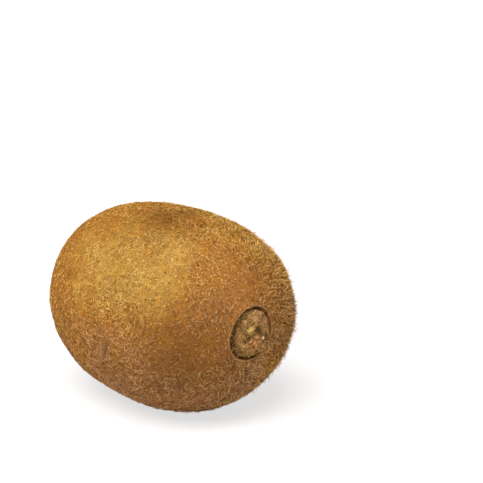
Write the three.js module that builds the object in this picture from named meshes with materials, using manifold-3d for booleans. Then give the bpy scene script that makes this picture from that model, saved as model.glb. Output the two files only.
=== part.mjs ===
// A whole kiwi fruit, lying on its side, in millimetres with +Z up.
// +X points from the blossom end to the stem end, and the origin is on the ground under its middle.
// Three solids: the fruit with its calyx ring, the dried calyx in that ring round the stalk scar,
// and the tuft of dried styles in the dimple of the blossom end.
import * as THREE from "three";
import { mergeVertices } from "three/addons/utils/BufferGeometryUtils.js";
import Module from "manifold-3d";

const wasm = await Module();
wasm.setup();

// Driving sizes of the fruit
const HALF_LENGTH = 33.2;
const HALF_WIDTH = 26.0;
const HEIGHT_SHARE = 0.97; // height over width of the cross-section
const BLUNTNESS = 2.59; // exponent of the long outline: 2 is an ellipse, more is blunter
const STEM_END_SWELL = 0.039; // how much wider the stem end is than an even outline
const MIDDLE_SWELL = 0.049; // how much fuller the middle is
const SWELL_TURN = 0.4; // share of the way out, squared, where the middle's swell ends
const REST_DEPTH = 0.3; // how deep the small flat spot is pressed into the belly
const FLESH_GAP = 0.35; // clearance between a dried remnant and the flesh under it

// Slow waves round the cross-section that make the fruit a grown thing and no turned one:
// how many round the girth, how high as a share of the radius, and at which angle the crest is
const GIRTH_WAVES = [
  { count: 2, share: 0.006, crest: 3 },
  { count: 3, share: 0.01, crest: -10 },
];
const TURNING_WAVES = [{ count: 2, share: 0.017, crest: 34 }]; // turn over from end to end

// Radii at which the outline has a point, from the pole of each end outwards
const SEAT_FLOOR_RINGS = [2.4, 4.6, 6.2];
const LIP_RINGS = [7.2, 7.6, 8.1, 8.8, 9.7, 10.8, 12.0, 13.6];
const DIMPLE_RINGS = [1.5, 3.0, 4.5, 6.0, 7.5, 9.0, 10.8];
const CALYX_RINGS = [0.7, 1.3, 1.9, 2.4, 2.9, 3.4, 3.9, 4.4, 4.9, 5.3, 5.65];
const FRUIT_COLUMNS = 80;
const CALYX_COLUMNS = 70;
const BELLY_ROWS = 26; // rows between the two ends' rings

// The ring round the calyx is no true circle, and sits a little off the core
const RING_CENTRE = [-0.2, 0.43]; // millimetres along +Y and +Z
const RING_WAVES = [
  { count: 2, share: 0.044, crest: 56 },
  { count: 3, share: 0.023, crest: -39 },
];
const RING_FADE = [8.5, 14]; // radii between which the skin finds back to the plain outline

// The stem end: a seat for the calyx inside a raised lip
const SEAT_RADIUS = 6.6;
const SEAT_DEPTH = 1.3;
const SEAT_WALL = 0.3; // run of the seat's steep wall
const LIP_HEIGHT = 0.45;
const LIP_RADIUS = 7.3;
const LIP_WIDTH = 1.0;
const PUCKER_COUNT = 9; // radial puckers of the skin round the lip
const PUCKER_DRIFT = 3; // waves in a turn by which the puckers crowd and spread
const PUCKER_HEIGHT = 0.1;
const PUCKER_RADIUS = 9.2;
const PUCKER_WIDTH = 2.4;

// The blossom end: a shallow dimple
const DIMPLE_RADIUS = 7.0;
const DIMPLE_DEPTH = 1.5;

// The dried calyx: sepals matted into one disc, with the stalk scar in the middle
const CALYX_RADIUS = 5.95;
const CALYX_DOME = 0.55; // rise of the middle over the rim
const CALYX_RIM = 0.35; // height of the rim over the skin's own line
const SEPAL_EDGES = [12, 88, 151, 231, 297]; // angles of the five sepals' free edges
const SEPAL_STEP = 0.38; // how far each sepal's free edge stands over the next one
const SEPAL_TWIST = 0.7; // radians that the sepals' edges wind from middle to rim
const SEPAL_CREASE = 0.16; // the crease down each sepal's middle
const CREASE_WIDTH = 0.16; // as a share of the sepal
const FOLD_HEIGHT = 0.16; // folds all over
const FOLD_WAVES = [
  { around: 7, outwards: 2.3 }, // waves in a turn, and radians in a millimetre outwards
  { around: -4, outwards: 1.9 },
];
const CALYX_FRAY = 0.045; // unevenness of the rim as a share of the radius
const FRAY_WAVES = [
  { around: 5, share: 0.6 },
  { around: 17, share: 0.4 },
];
const CALYX_UNDERCUT = 0.15; // how much narrower the underside is
const SCAR_RADIUS = 1.9;
const SCAR_RIM_HEIGHT = 0.4;
const SCAR_RIM_WIDTH = 0.55;
const SCAR_PIT_DEPTH = 0.5;
const SCAR_PIT_WIDTH = 1.1;

// The dried styles: thin bent rays on a small button, every second one in the outer ring
const STYLE_COUNT = 26;
const OUTER_STYLES = { lean: [14, 32], length: [3.1, 4.1] }; // degrees off the floor, and mm
const INNER_STYLES = { lean: [40, 68], length: [2.2, 3.1] };
const STYLE_CURL = [2, 26]; // degrees that a ray turns up towards its tip
const STYLE_SWAY = 0.5; // most that a ray bends sideways, as a share of its length
const STYLE_THICKNESS = 0.72;
const STYLE_TIP_THICKNESS = 0.6;
const STYLE_STEPS = 4;
const STYLE_SIDES = 5;
const BUTTON_RADIUS = 2.1;
const BUTTON_HEIGHT = 1.5;
const BUTTON_PROFILE = [
  [0, 1], // shares of the radius and of the height
  [0.6, 0.85],
  [1, 0.4],
  [0.85, 0],
  [0, 0],
];
const BUTTON_COLUMNS = 20;
const STYLE_ROOT = [0.55, 0.45]; // where rays leave the button, as shares of height and radius
const SEED = 7;
const DRAW_FACTOR = 16807;
const DRAW_MODULUS = 2 ** 31 - 1;

const SKIN_COLOUR = 0xa9773a;
const CALYX_COLOUR = 0x8f6d3f;
const STYLES_COLOUR = 0x4a2f1a;

const TURN = 2 * Math.PI;
const MERGE_WITHIN = 1e-4;

const radians = THREE.MathUtils.degToRad;
const { smoothstep, lerp } = THREE.MathUtils;
const bump = (distance, width) => Math.exp(-((distance / width) ** 2));

// The same draw each run, from 0 to 1
function seededDraw(seed) {
  let state = seed;
  return () => {
    state = (state * DRAW_FACTOR) % DRAW_MODULUS;
    return state / DRAW_MODULUS;
  };
}

// Place along the core of the plain outline at a radius, on the stem half
const coreAt = (radius) =>
  HALF_LENGTH *
  Math.max(0, 1 - (radius / HALF_WIDTH) ** BLUNTNESS) ** (1 / BLUNTNESS);

// Sum of waves round the girth at an angle
const waveSum = (waves, angle) =>
  waves.reduce((sum, w) => sum + w.share * Math.cos(w.count * (angle - radians(w.crest))), 0);

// Radius factor of the skin at a place along the core (-1 to 1) and an angle round it
function girth(along, angle) {
  const swell = STEM_END_SWELL * along + MIDDLE_SWELL * (SWELL_TURN - along ** 2);
  return 1 + swell + waveSum(GIRTH_WAVES, angle) + along * waveSum(TURNING_WAVES, angle);
}

// Rise of the skin along the core at the stem end: seat, wall, lip and puckers
function stemEndRise(radius, angle) {
  const seat = -SEAT_DEPTH * (1 - smoothstep(radius, SEAT_RADIUS, SEAT_RADIUS + SEAT_WALL));
  const lip = LIP_HEIGHT * bump(radius - LIP_RADIUS, LIP_WIDTH) * (radius > SEAT_RADIUS ? 1 : 0);
  const pucker =
    PUCKER_HEIGHT *
    Math.cos(PUCKER_COUNT * angle + Math.sin(PUCKER_DRIFT * angle)) *
    bump(radius - PUCKER_RADIUS, PUCKER_WIDTH);
  return seat + lip + (radius > SEAT_RADIUS ? pucker : 0);
}

// Sink of the skin along the core at the blossom end
const dimpleSink = (radius) =>
  DIMPLE_DEPTH * (1 - smoothstep(radius, 0, DIMPLE_RADIUS));

// A lathe turned about X from points (radius, place along X), its first point at the +X end
function turnedAboutX(points, columns) {
  const lathe = new THREE.LatheGeometry(
    points.map(([radius, x]) => new THREE.Vector2(radius, x)).reverse(),
    columns,
  );
  lathe.rotateZ(-Math.PI / 2);
  lathe.deleteAttribute("uv");
  lathe.deleteAttribute("normal");
  return mergeVertices(lathe, MERGE_WITHIN);
}

// Moves every vertex of a turned geometry by place(x, radius, angle) -> [x, radius], and
// those of the stem end with the ring's own outline
function warped(geometry, place) {
  const at = geometry.attributes.position;
  for (let i = 0; i < at.count; i++) {
    const radius = Math.hypot(at.getY(i), at.getZ(i));
    const angle = Math.atan2(at.getZ(i), at.getY(i));
    const [x, placed] = place(at.getX(i), radius, angle);
    const share = x > 0 ? 1 - smoothstep(radius, ...RING_FADE) : 0;
    const r = placed * (1 + share * waveSum(RING_WAVES, angle));
    at.setXYZ(
      i,
      x,
      r * Math.cos(angle) + share * RING_CENTRE[0],
      r * Math.sin(angle) + share * RING_CENTRE[1],
    );
  }
  return geometry;
}

function solidOf(geometry) {
  const bare = geometry.clone();
  bare.deleteAttribute("normal");
  bare.deleteAttribute("uv");
  const merged = mergeVertices(bare, MERGE_WITHIN);
  return new wasm.Manifold(
    new wasm.Mesh({
      numProp: 3,
      vertProperties: new Float32Array(merged.attributes.position.array),
      triVerts: new Uint32Array(merged.index.array),
    }),
  );
}

function geometryOf(solid) {
  const mesh = solid.getMesh();
  const geometry = new THREE.BufferGeometry();
  geometry.setAttribute("position", new THREE.BufferAttribute(mesh.vertProperties, 3));
  geometry.setIndex(new THREE.BufferAttribute(mesh.triVerts, 1));
  geometry.computeVertexNormals();
  return geometry;
}

// The plain outline from the stem end's pole to the blossom end's, before any relief
function fruitOutline() {
  const stemRings = [...SEAT_FLOOR_RINGS, SEAT_RADIUS, SEAT_RADIUS + SEAT_WALL, ...LIP_RINGS];
  const turnAt = (radius) => Math.asin((radius / HALF_WIDTH) ** (BLUNTNESS / 2));
  const first = turnAt(stemRings.at(-1));
  const last = Math.PI - turnAt(DIMPLE_RINGS.at(-1));
  const belly = [];
  for (let i = 1; i < BELLY_ROWS; i++) {
    const t = lerp(first, last, i / BELLY_ROWS);
    const along = Math.sign(Math.cos(t)) * Math.abs(Math.cos(t)) ** (2 / BLUNTNESS);
    belly.push([HALF_WIDTH * Math.sin(t) ** (2 / BLUNTNESS), HALF_LENGTH * along]);
  }
  return [
    [0, HALF_LENGTH],
    ...stemRings.map((r) => [r, coreAt(r)]),
    ...belly,
    ...DIMPLE_RINGS.toReversed().map((r) => [r, -coreAt(r)]),
    [0, -HALF_LENGTH],
  ];
}

// The fruit: one solid from pole to pole, with a flat spot cut under its belly
function fruitGeometry() {
  const skin = warped(turnedAboutX(fruitOutline(), FRUIT_COLUMNS), (x, radius, angle) => {
    const rise = x > 0 ? stemEndRise(radius, angle) : dimpleSink(radius);
    const nearEnd = smoothstep(radius, SEAT_RADIUS, 2 * SEAT_RADIUS);
    return [x + rise, radius * lerp(1, girth(x / HALF_LENGTH, angle), nearEnd)];
  });
  skin.scale(1, 1, HEIGHT_SHARE);

  skin.computeBoundingBox();
  const flatAt = skin.boundingBox.min.z + REST_DEPTH;
  const below = new THREE.BoxGeometry(4 * HALF_LENGTH, 4 * HALF_LENGTH, HALF_LENGTH);
  below.translate(0, 0, flatAt - HALF_LENGTH / 2);
  return geometryOf(solidOf(skin).subtract(solidOf(below)));
}

// How far across its sepal a point lies, from 0 at the free edge to 1 at the next one
function acrossSepal(radius, angle) {
  const wound = THREE.MathUtils.euclideanModulo(
    THREE.MathUtils.radToDeg(angle + (SEPAL_TWIST * radius) / CALYX_RADIUS),
    360,
  );
  const after = SEPAL_EDGES.filter((edge) => edge <= wound).length;
  const start = after ? SEPAL_EDGES[after - 1] : SEPAL_EDGES.at(-1) - 360;
  const end = after < SEPAL_EDGES.length ? SEPAL_EDGES[after] : SEPAL_EDGES[0] + 360;
  return (wound - start) / (end - start);
}

// Height of the calyx's upper side over the skin's own line
function calyxRise(radius, angle) {
  const out = radius / CALYX_RADIUS;
  const across = acrossSepal(radius, angle);
  const overScar = smoothstep(radius, SCAR_RADIUS, 2 * SCAR_RADIUS);
  const step = SEPAL_STEP * (1 - across) ** 1.5 * overScar * out;
  const crease = -SEPAL_CREASE * bump(across - 0.5, CREASE_WIDTH) * overScar;
  const folds = FOLD_WAVES.reduce(
    (product, wave) => product * Math.cos(wave.around * angle + wave.outwards * radius),
    FOLD_HEIGHT * out,
  );
  const scar =
    SCAR_RIM_HEIGHT * bump(radius - SCAR_RADIUS, SCAR_RIM_WIDTH) -
    SCAR_PIT_DEPTH * bump(radius, SCAR_PIT_WIDTH);
  return CALYX_RIM + CALYX_DOME * (1 - out ** 2) + step + crease + folds + scar;
}

// The dried calyx: a disc of matted sepals, clear of the seat under it and of its wall
function calyxGeometry() {
  const underside = HALF_LENGTH - SEAT_DEPTH + FLESH_GAP;
  const top = [...CALYX_RINGS, CALYX_RADIUS].map((r) => [r, coreAt(r)]);
  const bottom = [
    [CALYX_RADIUS - CALYX_UNDERCUT, underside],
    [CALYX_RADIUS / 2, underside],
    [0, underside],
  ];
  const disc = turnedAboutX([[0, HALF_LENGTH], ...top, ...bottom], CALYX_COLUMNS);
  const isTop = (x) => x > underside + MERGE_WITHIN;
  return warped(disc, (x, radius, angle) => {
    const fray = FRAY_WAVES.reduce(
      (sum, wave) => sum + (CALYX_FRAY * wave.share * (1 + Math.cos(wave.around * angle))) / 2,
      0,
    );
    const r = radius * (1 - fray * smoothstep(radius, CALYX_RADIUS / 2, CALYX_RADIUS));
    return [isTop(x) ? x + calyxRise(radius, angle) : x, r];
  });
}

// One style: a bent ray that leaves the button and tapers to its tip
function styleGeometry(lean, length, curl, sway) {
  const reach = (share, angle) =>
    new THREE.Vector3(Math.sin(angle), Math.cos(angle), 0).multiplyScalar(share * length);
  const bend = new THREE.QuadraticBezierCurve3(
    new THREE.Vector3(0, 0, 0),
    reach(0.5, lean),
    reach(1, lean + curl).setZ(sway * length),
  );
  const section = new THREE.Shape(
    Array.from({ length: STYLE_SIDES }, (_, i) => {
      const a = (i / STYLE_SIDES) * TURN;
      return new THREE.Vector2(Math.cos(a), Math.sin(a)).multiplyScalar(STYLE_THICKNESS / 2);
    }),
  );
  const ray = new THREE.ExtrudeGeometry(section, { steps: STYLE_STEPS, extrudePath: bend });
  // Thinner towards the tip
  const at = ray.attributes.position;
  const point = new THREE.Vector3();
  for (let i = 0; i < at.count; i++) {
    point.fromBufferAttribute(at, i);
    const share = THREE.MathUtils.clamp(point.length() / length, 0, 1);
    const onPath = bend.getPoint(share);
    const thin = lerp(1, STYLE_TIP_THICKNESS / STYLE_THICKNESS, share);
    point.sub(onPath).multiplyScalar(thin).add(onPath);
    at.setXYZ(i, point.x, point.y, point.z);
  }
  return ray;
}

// The tuft of dried styles: rays in two rings on one button, joined to one solid
function stylesGeometry() {
  const draw = seededDraw(SEED);
  const profile = BUTTON_PROFILE.map(([r, x]) => [r * BUTTON_RADIUS, x * BUTTON_HEIGHT]);
  let tuft = solidOf(turnedAboutX(profile, BUTTON_COLUMNS));
  for (let i = 0; i < STYLE_COUNT; i++) {
    const ring = i % 2 ? INNER_STYLES : OUTER_STYLES;
    const lean = radians(lerp(...ring.lean, draw()));
    const length = lerp(...ring.length, draw());
    const curl = radians(lerp(...STYLE_CURL, draw()));
    const ray = styleGeometry(lean, length, curl, STYLE_SWAY * (draw() - 0.5));
    ray.translate(BUTTON_HEIGHT * STYLE_ROOT[0], BUTTON_RADIUS * STYLE_ROOT[1], 0);
    ray.rotateX(((i + draw()) / STYLE_COUNT) * TURN);
    tuft = tuft.add(solidOf(ray));
  }
  const geometry = geometryOf(tuft);
  // The button sits over the dimple's floor and the rays point out past the blossom end
  geometry.rotateZ(Math.PI);
  geometry.translate(-(HALF_LENGTH - DIMPLE_DEPTH + FLESH_GAP), 0, 0);
  return geometry;
}

function named(name, geometry, colour, roughness) {
  const material = new THREE.MeshStandardMaterial({ color: colour, roughness, metalness: 0 });
  const mesh = new THREE.Mesh(geometry, material);
  mesh.name = name;
  return mesh;
}

const kiwi = new THREE.Group();
kiwi.add(named("fruit", fruitGeometry(), SKIN_COLOUR, 0.85));
kiwi.add(named("dried_calyx", calyxGeometry(), CALYX_COLOUR, 0.95));
kiwi.add(named("dried_styles", stylesGeometry(), STYLES_COLOUR, 0.9));

// Set down on the ground, with the origin under the middle of the whole
const box = new THREE.Box3().setFromObject(kiwi, true);
const middle = box.getCenter(new THREE.Vector3());
kiwi.position.set(-middle.x, -middle.y, -box.min.z);

export default kiwi;
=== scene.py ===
"""Looks of one whole kiwi fruit that lies on its side, built round the frame of its solids.

The skin, its coat of hairs, the dried calyx and the tuft of dried styles are meshes in metres.
Each keeps the form of the solid that it stands for, and adds the fine relief, the hairs and
the colour.
"""

import logging
import math
from collections.abc import Callable, Iterable, Mapping
from dataclasses import dataclass, field
from enum import Enum
from typing import Any

import bpy
import numpy as np
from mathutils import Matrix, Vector


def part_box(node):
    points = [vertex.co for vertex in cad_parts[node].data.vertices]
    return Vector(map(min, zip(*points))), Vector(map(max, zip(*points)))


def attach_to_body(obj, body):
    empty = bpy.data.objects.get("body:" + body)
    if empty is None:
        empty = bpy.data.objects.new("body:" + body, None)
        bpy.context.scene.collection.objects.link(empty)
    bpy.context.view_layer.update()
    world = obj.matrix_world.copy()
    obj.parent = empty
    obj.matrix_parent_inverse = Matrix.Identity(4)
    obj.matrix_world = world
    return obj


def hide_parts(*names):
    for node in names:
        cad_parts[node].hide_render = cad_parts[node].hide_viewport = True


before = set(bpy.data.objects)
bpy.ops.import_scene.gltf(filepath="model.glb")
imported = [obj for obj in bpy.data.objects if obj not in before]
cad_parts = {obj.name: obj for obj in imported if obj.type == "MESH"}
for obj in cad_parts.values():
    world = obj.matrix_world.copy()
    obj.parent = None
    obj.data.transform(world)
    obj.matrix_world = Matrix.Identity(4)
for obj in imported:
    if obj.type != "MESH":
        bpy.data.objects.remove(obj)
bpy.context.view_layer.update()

log = logging.getLogger("kiwi")

MM = 0.001
BODY = "root"
TURN = 2 * math.pi
TINY = 1e-12
PALETTE_MAP = "OFBake"
PALETTE_ENDS = (0.02, 0.98)

Array = np.ndarray
Colour = tuple[float, float, float]


class Slot(Enum):
    """Finishes that the record names, one for each kind of surface."""

    SKIN = "skin"
    FUZZ = "fuzz"
    CALYX = "calyx"
    STYLES = "styles"


# Small sums on arrays of points

def unit(vectors: Array) -> Array:
    """Vectors at length 1.

    Args:
        vectors: Array of shape (count, 3).

    Returns:
        The same directions, each at length 1.
    """
    return vectors / np.maximum(np.linalg.norm(vectors, axis=-1, keepdims=True), TINY)


def smoothstep(value: Array, low: float, high: float) -> Array:
    """A soft step from 0 at low to 1 at high."""
    t = np.clip((value - low) / (high - low), 0, 1)
    return t * t * (3 - 2 * t)


def bump(distance: Array, width: float) -> Array:
    """A round hump that is 1 at no distance and fades within a few widths."""
    return np.exp(-((distance / width) ** 2))


def between(limits: tuple[float, float], share: Array) -> Array:
    """Values at a share of the way from the first limit to the second."""
    return limits[0] + (limits[1] - limits[0]) * share


@dataclass(frozen=True)
class Ripple:
    """A smooth random field in space: many sine waves that run in random directions.

    Attributes:
        length: Middle wavelength in metres.
        seed: Number that fixes the waves.
        waves: How many waves are summed.
        spread: Shortest and longest wave, as shares of the middle one.
    """

    length: float
    seed: int
    waves: int = 28
    spread: tuple[float, float] = (0.7, 1.5)

    def _waves(self) -> tuple[Array, Array]:
        """Draws the waves.

        Returns:
            Wave vectors in radians a metre, and phases.
        """
        rng = np.random.default_rng(self.seed)
        ways = unit(rng.normal(size=(self.waves, 3)))
        lengths = self.length * rng.uniform(*self.spread, (self.waves, 1))
        return ways * TURN / lengths, rng.uniform(0, TURN, self.waves)

    def at(self, points: Array) -> Array:
        """Values of the field, mostly from -1 to 1.

        Args:
            points: Array of shape (count, 3), in metres.

        Returns:
            One value for each point.
        """
        ways, phases = self._waves()
        return np.sin(points @ ways.T + phases).sum(axis=-1) / math.sqrt(self.waves)

    def slope(self, points: Array) -> Array:
        """Direction in which the field rises, at length 1, for each point."""
        ways, phases = self._waves()
        return unit(np.cos(points @ ways.T + phases) @ ways)


def rippled(ripples: Iterable[tuple[Ripple, float]], points: Array) -> Array:
    """Sum of random fields at points, each times its own height or share."""
    return sum(amount * ripple.at(points) for ripple, amount in ripples)


def summed(places: Iterable[Any], points: Array) -> Array:
    """Sum of what soft round places give at points."""
    return sum(place.at(points) for place in places)


def degrees_off(angle: Array, side: float) -> Array:
    """How far angles in radians lie from a side in degrees, from -180 to 180."""
    return (np.degrees(angle) - side + 180) % 360 - 180


def turned_about_x(points: Array, angle: float) -> Array:
    """Points turned about X by an angle in radians, from +Y towards +Z."""
    c, s = math.cos(angle), math.sin(angle)
    return points @ np.array([[1, 0, 0], [0, c, s], [0, -s, c]])


# Meshes from arrays

def mesh_piece(
    name: str,
    points: Array,
    faces: Iterable[Array],
    uv: Array | None = None,
    marks: Mapping[str, Array] | None = None,
) -> bpy.types.Object:
    """Makes a smooth-shaded mesh object of arrays.

    Args:
        name: Name of the piece.
        points: Vertices, of shape (count, 3), in metres.
        faces: Arrays of vertex numbers, each of shape (count, sides).
        uv: Texture place of each vertex, of shape (count, 2), if the piece brings its own.
        marks: Name of a measure that the finish reads to its value at each vertex.

    Returns:
        The object, linked to the scene.
    """
    faces = [f for f in faces if len(f)]
    corners = np.concatenate([f.ravel() for f in faces]).astype(np.int32)
    sides = np.concatenate([np.full(len(f), f.shape[1]) for f in faces])
    mesh = bpy.data.meshes.new(name)
    mesh.vertices.add(len(points))
    mesh.vertices.foreach_set("co", points.astype(np.float32).ravel())
    mesh.loops.add(len(corners))
    mesh.loops.foreach_set("vertex_index", corners)
    mesh.polygons.add(len(sides))
    starts = np.concatenate([[0], np.cumsum(sides)[:-1]]).astype(np.int32)
    mesh.polygons.foreach_set("loop_start", starts)
    mesh.update(calc_edges=True)
    mesh.shade_smooth()
    if uv is not None:
        layer = mesh.uv_layers.new(name=PALETTE_MAP)
        layer.uv.foreach_set("vector", uv[corners].astype(np.float32).ravel())
    for mark, values in (marks or {}).items():
        layer = mesh.attributes.new(mark, "FLOAT", "POINT")
        layer.data.foreach_set("value", values.astype(np.float32))
    piece = bpy.data.objects.new(name, mesh)
    bpy.context.scene.collection.objects.link(piece)
    return piece


def ring_faces(rows: int, columns: int) -> Array:
    """Quads between the rings of a tube whose rings start the vertex list, one after the other.

    Args:
        rows: Number of rings.
        columns: Vertices in a ring.

    Returns:
        Vertex numbers of shape (faces, 4). They face out where each ring runs anticlockwise
        as seen from the tube's first end.
    """
    ring, place = np.meshgrid(np.arange(rows - 1), np.arange(columns), indexing="ij")
    here = ring * columns + place
    beside = ring * columns + (place + 1) % columns
    return np.stack([here, here + columns, beside + columns, beside], -1).reshape(-1, 4)


def fan_faces(pole: int, ring: int, columns: int, outward: bool) -> Array:
    """Triangles between a pole and a ring.

    Args:
        pole: Number of the pole's vertex.
        ring: Number of the ring's first vertex.
        columns: Vertices in the ring.
        outward: Whether the order is pole, here, beside, and not the other way round.

    Returns:
        Vertex numbers of shape (columns, 3).
    """
    here = ring + np.arange(columns)
    beside = ring + (np.arange(columns) + 1) % columns
    pole_row = np.full(columns, pole)
    order = [pole_row, here, beside] if outward else [pole_row, beside, here]
    return np.stack(order, -1)


def closed_faces(rows: int, columns: int) -> list[Array]:
    """Lists the faces of rings that two poles close.

    Args:
        rows: Number of rings.
        columns: Vertices of a ring. Those of the two poles come after all rings.

    Returns:
        Quads of the rings, the first pole's triangles and the last pole's.
    """
    end = rows * columns
    first = fan_faces(end, 0, columns, True)
    last = fan_faces(end + 1, end - columns, columns, False)
    return [ring_faces(rows, columns), first, last]


def turned(axial: Array, radius: Array, angle: Array) -> Array:
    """Points from a place along X, a distance from it and an angle round it."""
    return np.stack([axial, radius * np.cos(angle), radius * np.sin(angle)], -1)


# The grown form

@dataclass(frozen=True)
class GirthWave:
    """A slow wave round a cross-section.

    Attributes:
        count: Waves in a turn.
        share: Height as a share of the radius.
        crest: Angle of a crest in degrees, from +Y towards +Z.
    """

    count: int
    share: float
    crest: float


def wave_sum(waves: Iterable[GirthWave], angle: Array) -> Array:
    """Sum of waves round the girth at angles in radians, as a share of the radius."""
    turns = ((wave.share, wave.count * (angle - math.radians(wave.crest))) for wave in waves)
    return sum(share * np.cos(turn) for share, turn in turns)


@dataclass
class FruitForm:
    """The grown form of the fruit: its outline, its waves and the relief of its two ends.

    Places are worked out with the core along X through the origin, and place_on finds the move
    to the frame.

    Attributes:
        half_length: From the middle to a pole of the plain outline.
        half_width: From the core to the plain outline at the middle.
        height_share: Height of the fruit as a share of its width.
        bluntness: Power of the outline. An egg has 2, and a blunter form has more.
        stem_end_swell: How much wider the stem end is.
        middle_swell: How much wider the middle is, and narrower the ends past swell_turn.
        swell_turn: Square of the place along the core where the middle's swell ends.
        rest_depth: How much of the belly is pressed flat.
        ring_centre: Where the calyx ring's middle lies along +Y and +Z.
        ring_waves: Uneven outline of the ring.
        ring_fade: Radii between which the ring's outline gives way to the fruit's own.
        broad_side: Side of the ring, in degrees, where its bare rim is broadest.
        broad_spread: How far round the ring that reaches, in degrees.
        broad_by: How much broader the rim is there.
        broad_from: Distances from the ring's middle between which that sets in.
        seat_radius: Radius of the seat that the calyx lies in.
        seat_depth: Depth of the seat.
        seat_wall: Width of its steep wall.
        lip_height: Height of the lip round the seat.
        lip_radius: Radius of its crest.
        lip_width: How soon it fades.
        pucker_count: Puckers in a turn round the lip.
        pucker_drift: Waves in a turn that shift the puckers from their even places.
        pucker_height: Height of the puckers.
        pucker_radius: Radius where they are highest.
        pucker_width: How soon they fade.
        dimple_radius: Radius of the dimple at the blossom end.
        dimple_depth: Depth of that dimple.
        waves: Waves round the girth all along the fruit.
        turning_waves: Waves that change sign from one half to the other.
        shift: Move from the core's own place to the frame.
    """

    half_length: float = 33.2 * MM
    half_width: float = 26.0 * MM
    height_share: float = 0.97
    bluntness: float = 2.59
    stem_end_swell: float = 0.039
    middle_swell: float = 0.049
    swell_turn: float = 0.4
    rest_depth: float = 0.3 * MM
    ring_centre: tuple[float, float] = (-0.2 * MM, 0.43 * MM)
    ring_waves: tuple[GirthWave, ...] = (GirthWave(2, 0.044, 56), GirthWave(3, 0.023, -39))
    ring_fade: tuple[float, float] = (8.5 * MM, 14 * MM)
    broad_side: float = 20.0
    broad_spread: float = 40.0
    broad_by: float = 1.15 * MM
    broad_from: tuple[float, float] = (7.0 * MM, 8.0 * MM)
    seat_radius: float = 6.6 * MM
    seat_depth: float = 1.3 * MM
    seat_wall: float = 0.3 * MM
    lip_height: float = 0.45 * MM
    lip_radius: float = 7.3 * MM
    lip_width: float = 1.0 * MM
    pucker_count: int = 9
    pucker_drift: int = 3
    pucker_height: float = 0.1 * MM
    pucker_radius: float = 9.2 * MM
    pucker_width: float = 2.4 * MM
    dimple_radius: float = 7.0 * MM
    dimple_depth: float = 1.5 * MM
    waves: tuple[GirthWave, ...] = (GirthWave(2, 0.006, 3), GirthWave(3, 0.01, -10))
    turning_waves: tuple[GirthWave, ...] = (GirthWave(2, 0.017, 34),)
    shift: Vector = field(default_factory=Vector)

    def core_at(self, radius: Array) -> Array:
        """Place along the core of the plain outline at a radius, on the stem half."""
        inner = np.clip(1 - (radius / self.half_width) ** self.bluntness, 0, None)
        return self.half_length * inner ** (1 / self.bluntness)

    def girth(self, along: Array, angle: Array) -> Array:
        """Radius factor of the skin.

        Args:
            along: Place along the core, from -1 at the blossom end to 1 at the stem end.
            angle: Angle round the core in radians.

        Returns:
            What the plain outline's radius is multiplied by.
        """
        swell = self.stem_end_swell * along + self.middle_swell * (self.swell_turn - along**2)
        return 1 + swell + wave_sum(self.waves, angle) + along * wave_sum(self.turning_waves, angle)

    def stem_end_rise(self, radius: Array, angle: Array) -> Array:
        """Rise of the skin along the core at the stem end: seat, wall, lip and puckers.

        Args:
            radius: Radius of the plain outline.
            angle: Angle round the core in radians.

        Returns:
            Rise in metres, below zero in the seat.
        """
        seat = smoothstep(radius, self.seat_radius, self.seat_radius + self.seat_wall) - 1
        lip = self.lip_height * bump(radius - self.lip_radius, self.lip_width)
        drift = np.sin(self.pucker_drift * angle)
        pucker = self.pucker_height * np.cos(self.pucker_count * angle + drift)
        pucker = pucker * bump(radius - self.pucker_radius, self.pucker_width)
        return self.seat_depth * seat + np.where(radius > self.seat_radius, lip + pucker, 0)

    def dimple_sink(self, radius: Array) -> Array:
        """Sink of the skin along the core at the blossom end."""
        return self.dimple_depth * (1 - smoothstep(radius, 0, self.dimple_radius))

    def skin_point(self, axial: Array, radius: Array, angle: Array) -> Array:
        """Points of the skin.

        Args:
            axial: Place along the core on the plain outline.
            radius: Radius of the plain outline there.
            angle: Angle round the core in radians.

        Returns:
            Points in metres, before the flat spot and the move to the frame.
        """
        rise = np.where(axial > 0, self.stem_end_rise(radius, angle), self.dimple_sink(radius))
        near_end = smoothstep(radius, self.seat_radius, 2 * self.seat_radius)
        girth = 1 + (self.girth(axial / self.half_length, angle) - 1) * near_end
        share = np.where(axial > 0, 1 - smoothstep(radius, *self.ring_fade), 0)
        points = self.ringed(axial + rise, radius * girth, angle, share)
        return points * np.array([1, 1, self.height_share])

    def ringed(
        self, axial: Array, radius: Array, angle: Array, share: Array | float = 1.0
    ) -> Array:
        """Points with the calyx ring's own uneven outline.

        Args:
            axial: Place along the core.
            radius: Distance from the core.
            angle: Angle round the core in radians.
            share: How much of the ring's outline is taken on, from 0 to 1.

        Returns:
            Points in metres.
        """
        points = turned(axial, radius * (1 + share * wave_sum(self.ring_waves, angle)), angle)
        points[..., 1] += share * self.ring_centre[0]
        points[..., 2] += share * self.ring_centre[1]
        return points

    def ring_place(self, points: Array) -> tuple[Array, Array]:
        """Where skin near the stem end lies in its ring.

        Args:
            points: Points of the skin before the move to the frame.

        Returns:
            Distance from the ring's middle as if the ring were a true circle, and angle round it.
        """
        across = points[..., 1] - self.ring_centre[0]
        above = points[..., 2] / self.height_share - self.ring_centre[1]
        angle = np.arctan2(above, across)
        return np.hypot(across, above) / (1 + wave_sum(self.ring_waves, angle)), angle

    def lip_place(self, points: Array) -> Array:
        """Distance from the ring's middle, lessened on the side where the bare rim is broad.

        Args:
            points: Points of the skin before the move to the frame.

        Returns:
            One distance for each point.
        """
        ring, turn = self.ring_place(points)
        broad = bump(degrees_off(turn, self.broad_side), self.broad_spread)
        return ring - self.broad_by * broad * smoothstep(ring, *self.broad_from)

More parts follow.
